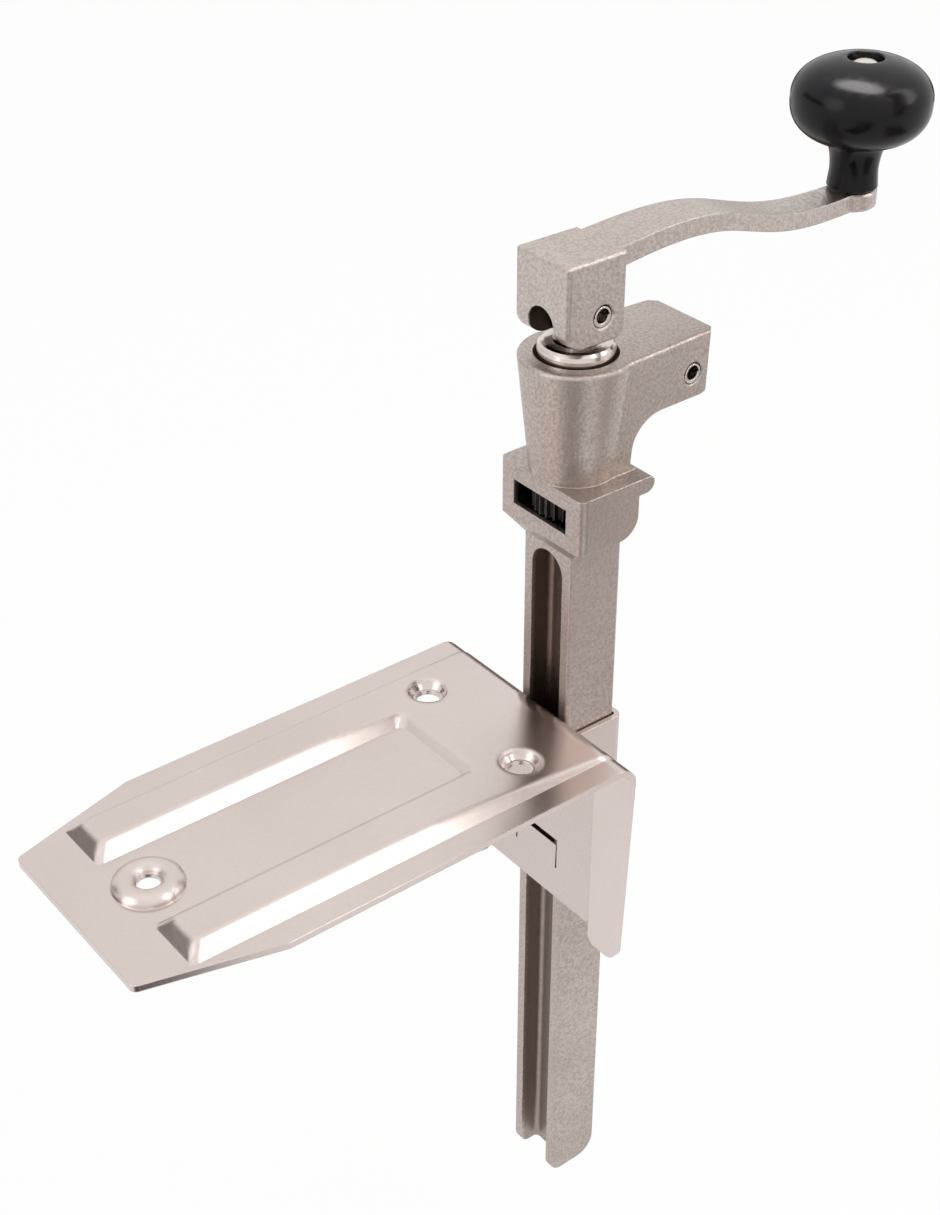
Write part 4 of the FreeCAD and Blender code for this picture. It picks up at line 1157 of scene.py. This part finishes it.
@dataclass
class KnobGrip:
    """Moulded ball knob with a waisted neck and a mouth, and its liner."""

    shop: Workshop
    plastic: MouldedPlastic = MouldedPlastic(
        "black knob plastic", (0.003, 0.003, 0.004), (0.006, 0.005, 0.006), 0.18
    )
    neck: float = 9.2 * MM
    waist: float = 8.7 * MM
    waist_height: float = 6.0 * MM
    flare: float = 12.1 * MM
    flare_height: float = 17.0 * MM
    equator: float = 32.0 * MM
    upper_fullness: float = 2.3
    lower_fullness: float = 2.5
    mouth: float = 6.4 * MM
    mouth_depth: float = 5.0 * MM
    edge: float = 0.6 * MM
    bore: float = 5.57 * MM
    sides: int = 128

    @staticmethod
    def ball(
        radius: float, end: float, height: float, fullness: float, steps: int
    ) -> list[tuple[float, float]]:
        """Half of the ball's outline, from its equator to its end.

        Args:
            radius: the ball's radius.
            end: distance of the end from the axis.
            height: height of the end above or below the equator.
            fullness: how square the outline is.
            steps: how many runs.

        Returns:
            Distance from the axis and from the equator of each point.
        """
        share = (end / radius) ** fullness
        reach = height / (1 - share) ** (1 / fullness)
        last = math.acos(math.sqrt(share))
        points = []
        for step in range(steps + 1):
            angle = last * step / steps
            away = radius * math.cos(angle) ** (2 / fullness)
            points.append((away, reach * math.sin(angle) ** (2 / fullness)))
        return points

    def outline(self) -> list[tuple[float, float]]:
        """The knob's closed outline.

        Returns:
            Distance from the axis and height of each point.
        """
        low, high = self.shop.box("knob")
        radius = (high.x - low.x) / 2
        base, top = low.z, high.z
        middle = base + self.equator
        edge, rim = self.edge, self.mouth + self.edge
        points = [(self.bore, base), (self.neck - edge, base), (self.neck, base + edge)]
        waist = (self.flare, base + self.waist_height)
        rise = self.flare_height - self.waist_height
        points += quarter(waist, self.flare - self.waist, rise, 180, 90, 12)
        drop = self.equator - self.flare_height
        lower = self.ball(radius, self.flare, drop, self.lower_fullness, 16)
        points += [(away, middle - depth) for away, depth in reversed(lower[:-1])]
        upper = self.ball(radius, rim, top - middle, self.upper_fullness, 24)
        points += [(away, middle + height) for away, height in upper[1:]]
        points += quarter((rim, top - edge), edge, edge, 105, 180, 5)
        floor = top - self.mouth_depth
        points += [(self.mouth, floor), (self.bore, floor)]
        return points

    def build(self) -> None:
        """Turn the grip and dress its liner."""
        piece = Piece("knob_grip", Body.KNOB, Slot.PLASTIC, "knob")
        self.shop.turned(piece, self.outline(), self.sides, self.shop.finish(self.plastic))
        self.shop.dress("knob_sleeve", self.shop.steel(Steel.SLEEVE))


@dataclass(frozen=True)
class Lamp:
    """A soft lamp that faces the opener's middle, and can light one piece only."""

    name: str
    place: tuple[float, float, float]
    size: tuple[float, float]
    watts: float
    only: str = ""


@dataclass(frozen=True)
class Card:
    """A toned card that shows in the plated metal alone, by its corners in metres."""

    name: str
    tone: Colour
    corners: tuple[tuple[float, float, float], ...]


LAMPS = (
    Lamp("near window", (0.75, -0.85, 0.95), (1.05, 1.05), 8.5),
    Lamp("left window", (-1.3, 0.1, 0.7), (0.9, 1.2), 3.5),
    Lamp("ceiling", (0.05, 0.02, 1.6), (2.4, 2.4), 2.0),
    Lamp("knob window", (0.13, 0.03, 1.5), (1.25, 0.7), 30.0, "knob_grip"),
)
LOW = -0.2425
CARDS = (
    Card(
        "near card",
        (0.07, 0.05, 0.052),
        ((-0.75, -1.0, LOW), (-0.3, -1.1, LOW), (-0.14, -0.25, LOW), (-0.42, -0.12, LOW)),
    ),
    Card(
        "side card",
        (0.25, 0.18, 0.145),
        ((0.22, -0.35, LOW), (0.05, -1.0, LOW), (0.52, -0.95, LOW), (0.6, -0.35, LOW)),
    ),
    Card(
        "rear card",
        (0.10, 0.065, 0.045),
        ((0.75, 1.3, -0.2), (1.5, 0.35, -0.2), (1.5, 0.35, 0.12), (0.75, 1.3, 0.12)),
    ),
    Card(
        "far card",
        (0.12, 0.1, 0.095),
        ((-1.7, 0.55, 0.3), (-0.45, 1.45, 0.3), (-0.45, 1.45, 0.66), (-1.7, 0.55, 0.66)),
    ),
    Card(
        "flank card",
        (0.13, 0.11, 0.1),
        ((0.2, -0.66, 0.1), (0.4, -0.66, 0.1), (0.4, -0.22, 0.56), (0.22, -0.22, 0.56)),
    ),
    Card(
        "bend card",
        (0.17, 0.105, 0.08),
        ((0.2, 0.14, LOW), (0.42, 0.1, LOW), (1.35, 0.75, LOW), (0.7, 1.3, LOW)),
    ),
)


@dataclass
class Studio:
    """Floor, cards, lamps and the photograph's camera, whose place is in millimetres."""

    azimuth: float = -38.0
    elevation: float = 33.34
    roll: float = -0.11
    distance: float = 716.4
    shift_right: float = -27.3
    shift_up: float = 33.0
    target: tuple[float, float, float] = (33.3, 0.0, 2.5)
    focal_pixels: float = 1941.9
    picture_height: float = 1215.0
    sensor: float = 36.0
    clip_start: float = 0.01
    middle: tuple[float, float, float] = (0.02, 0.0, 0.05)
    lamp_colour: Colour = (1.0, 0.975, 0.955)
    white: Colour = (1.0, 1.0, 1.0)
    floor_colour: Colour = (0.92, 0.9, 0.89)
    floor_glow: float = 0.95
    floor_reach: float = 60.0
    floor_level: float = -0.3075
    room_colour: Colour = (0.97, 0.94, 0.92)
    room_level: float = 0.7

    def directions(self) -> tuple[Vector, Vector, Vector]:
        """Right, up and backward directions of the camera.

        Returns:
            The three unit vectors.
        """
        azimuth = math.radians(self.azimuth)
        elevation = math.radians(self.elevation)
        back = Vector(
            (
                math.sin(azimuth) * math.cos(elevation),
                -math.cos(azimuth) * math.cos(elevation),
                math.sin(elevation),
            )
        )
        right = (-back).cross(Vector((0, 0, 1))).normalized()
        up = right.cross(-back)
        turn = Matrix.Rotation(math.radians(self.roll), 3, back)
        return turn @ right, turn @ up, back

    def place_camera(self) -> None:
        """Set the camera where the photograph was taken."""
        right, up, back = self.directions()
        eye = Vector(self.target) + back * self.distance
        eye += right * self.shift_right + up * self.shift_up
        data = bpy.data.cameras.new("camera")
        data.lens = self.focal_pixels * self.sensor / self.picture_height
        data.sensor_width = self.sensor
        data.clip_start = self.clip_start
        camera = bpy.data.objects.new("camera", data)
        bpy.context.scene.collection.objects.link(camera)
        pose = Matrix((right, up, back)).transposed().to_4x4()
        pose.translation = eye * MM
        camera.matrix_world = pose
        bpy.context.scene.camera = camera

    def hang(self, lamp: Lamp) -> None:
        """Hang a soft lamp.

        Args:
            lamp: what it is called, where it hangs, its size and its power.
        """
        data = bpy.data.lights.new(lamp.name, "AREA")
        data.shape = "ELLIPSE"
        data.size, data.size_y = lamp.size
        data.energy = lamp.watts
        data.color = self.lamp_colour
        item = bpy.data.objects.new(lamp.name, data)
        item.location = lamp.place
        away = Vector(lamp.place) - Vector(self.middle)
        item.rotation_euler = away.to_track_quat("Z", "Y").to_euler()
        bpy.context.scene.collection.objects.link(item)
        if lamp.only:
            lit = bpy.data.collections.new(lamp.name + " pieces")
            lit.objects.link(bpy.data.objects[lamp.only])
            item.light_linking.receiver_collection = lit

    @staticmethod
    def plane(
        name: str,
        corners: tuple[tuple[float, float, float], ...],
        material: bpy.types.Material,
    ) -> bpy.types.Object:
        """Lay a flat piece of the studio.

        Args:
            name: its name.
            corners: its four corners in metres.
            material: its surface.

        Returns:
            The flat piece.
        """
        mesh = bpy.data.meshes.new(name)
        mesh.from_pydata(corners, [], [(0, 1, 2, 3)])
        mesh.materials.append(material)
        flat = bpy.data.objects.new(name, mesh)
        bpy.context.scene.collection.objects.link(flat)
        return flat

    @staticmethod
    def whiten(sheet: NodeSheet, plain: bpy.types.Node, white: bpy.types.Node, share: float) -> Any:
        """Show white to the rays that see the background: straight, mirrored or through glass.

        Args:
            sheet: the sheet of the floor or of the room.
            plain: the node that lights the opener or takes its shadow.
            white: the node that shows as the background.
            share: how much of it shows.

        Returns:
            The socket of both.
        """
        path = sheet.add("ShaderNodeLightPath").outputs
        mirrored = sheet.maths("MAXIMUM", path["Is Glossy Ray"], path["Is Transmission Ray"])
        seen = sheet.maths("MAXIMUM", path["Is Camera Ray"], mirrored)
        mix = sheet.add("ShaderNodeMixShader")
        parts = (sheet.maths("MULTIPLY", seen, share), plain.outputs[0], white.outputs[0])
        for socket, part in zip(mix.inputs, parts):
            sheet.feed(part, socket)
        return mix.outputs[0]

    def floor(self) -> None:
        """Lay the pale floor, which shows white and keeps a light shadow."""
        material = bpy.data.materials.new("pale floor")
        sheet = blank(material)
        plain = sheet.add("ShaderNodeBsdfDiffuse", Color=self.floor_colour)
        white = sheet.add("ShaderNodeEmission", Color=self.white, Strength=1.0)
        surface = self.whiten(sheet, plain, white, self.floor_glow)
        sheet.add("ShaderNodeOutputMaterial", Surface=surface)
        reach, level = self.floor_reach, self.floor_level
        signs = ((-1, -1), (1, -1), (1, 1), (-1, 1))
        corners = tuple((along * reach, across * reach, level) for along, across in signs)
        self.plane("floor", corners, material)

    def stand(self, card: Card) -> None:
        """Stand a toned card where the plated metal mirrors something darker.

        Args:
            card: its name, tone and corners.
        """
        material = bpy.data.materials.new(card.name)
        sheet = blank(material)
        glow = sheet.add("ShaderNodeEmission", Color=card.tone, Strength=1.0)
        sheet.add("ShaderNodeOutputMaterial", Surface=glow.outputs[0])
        flat = self.plane(card.name, card.corners, material)
        flat.visible_camera = False
        flat.visible_shadow = False
        flat.visible_diffuse = False

    def room(self) -> None:
        """Fill the room with pale light, white where it shows as the background."""
        world = bpy.data.worlds.new("room")
        bpy.context.scene.world = world
        sheet = blank(world)
        plain = sheet.add(
            "ShaderNodeBackground", Color=self.room_colour, Strength=self.room_level
        )
        white = sheet.add("ShaderNodeBackground", Color=self.white, Strength=1.0)
        sheet.add("ShaderNodeOutputWorld", Surface=self.whiten(sheet, plain, white, 1.0))

    def build(self) -> None:
        """Set up the whole studio."""
        bpy.context.scene.view_settings.view_transform = "Standard"
        self.place_camera()
        self.floor()
        for card in CARDS:
            self.stand(card)
        self.room()
        for lamp in LAMPS:
            self.hang(lamp)


def main() -> None:
    """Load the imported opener, build its sub-assemblies in order and set up the studio."""
    logging.basicConfig(level=logging.INFO, format="%(name)s: %(message)s")
    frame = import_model()
    shop = Workshop(frame)
    for assembly in (TableBase, CastBar, KnifeLever, FeedArbor, CrankArm, KnobGrip):
        LOG.info("building %s", assembly.__name__)
        assembly(shop).build()
    Studio().build()


if __name__ == "__main__":
    main()
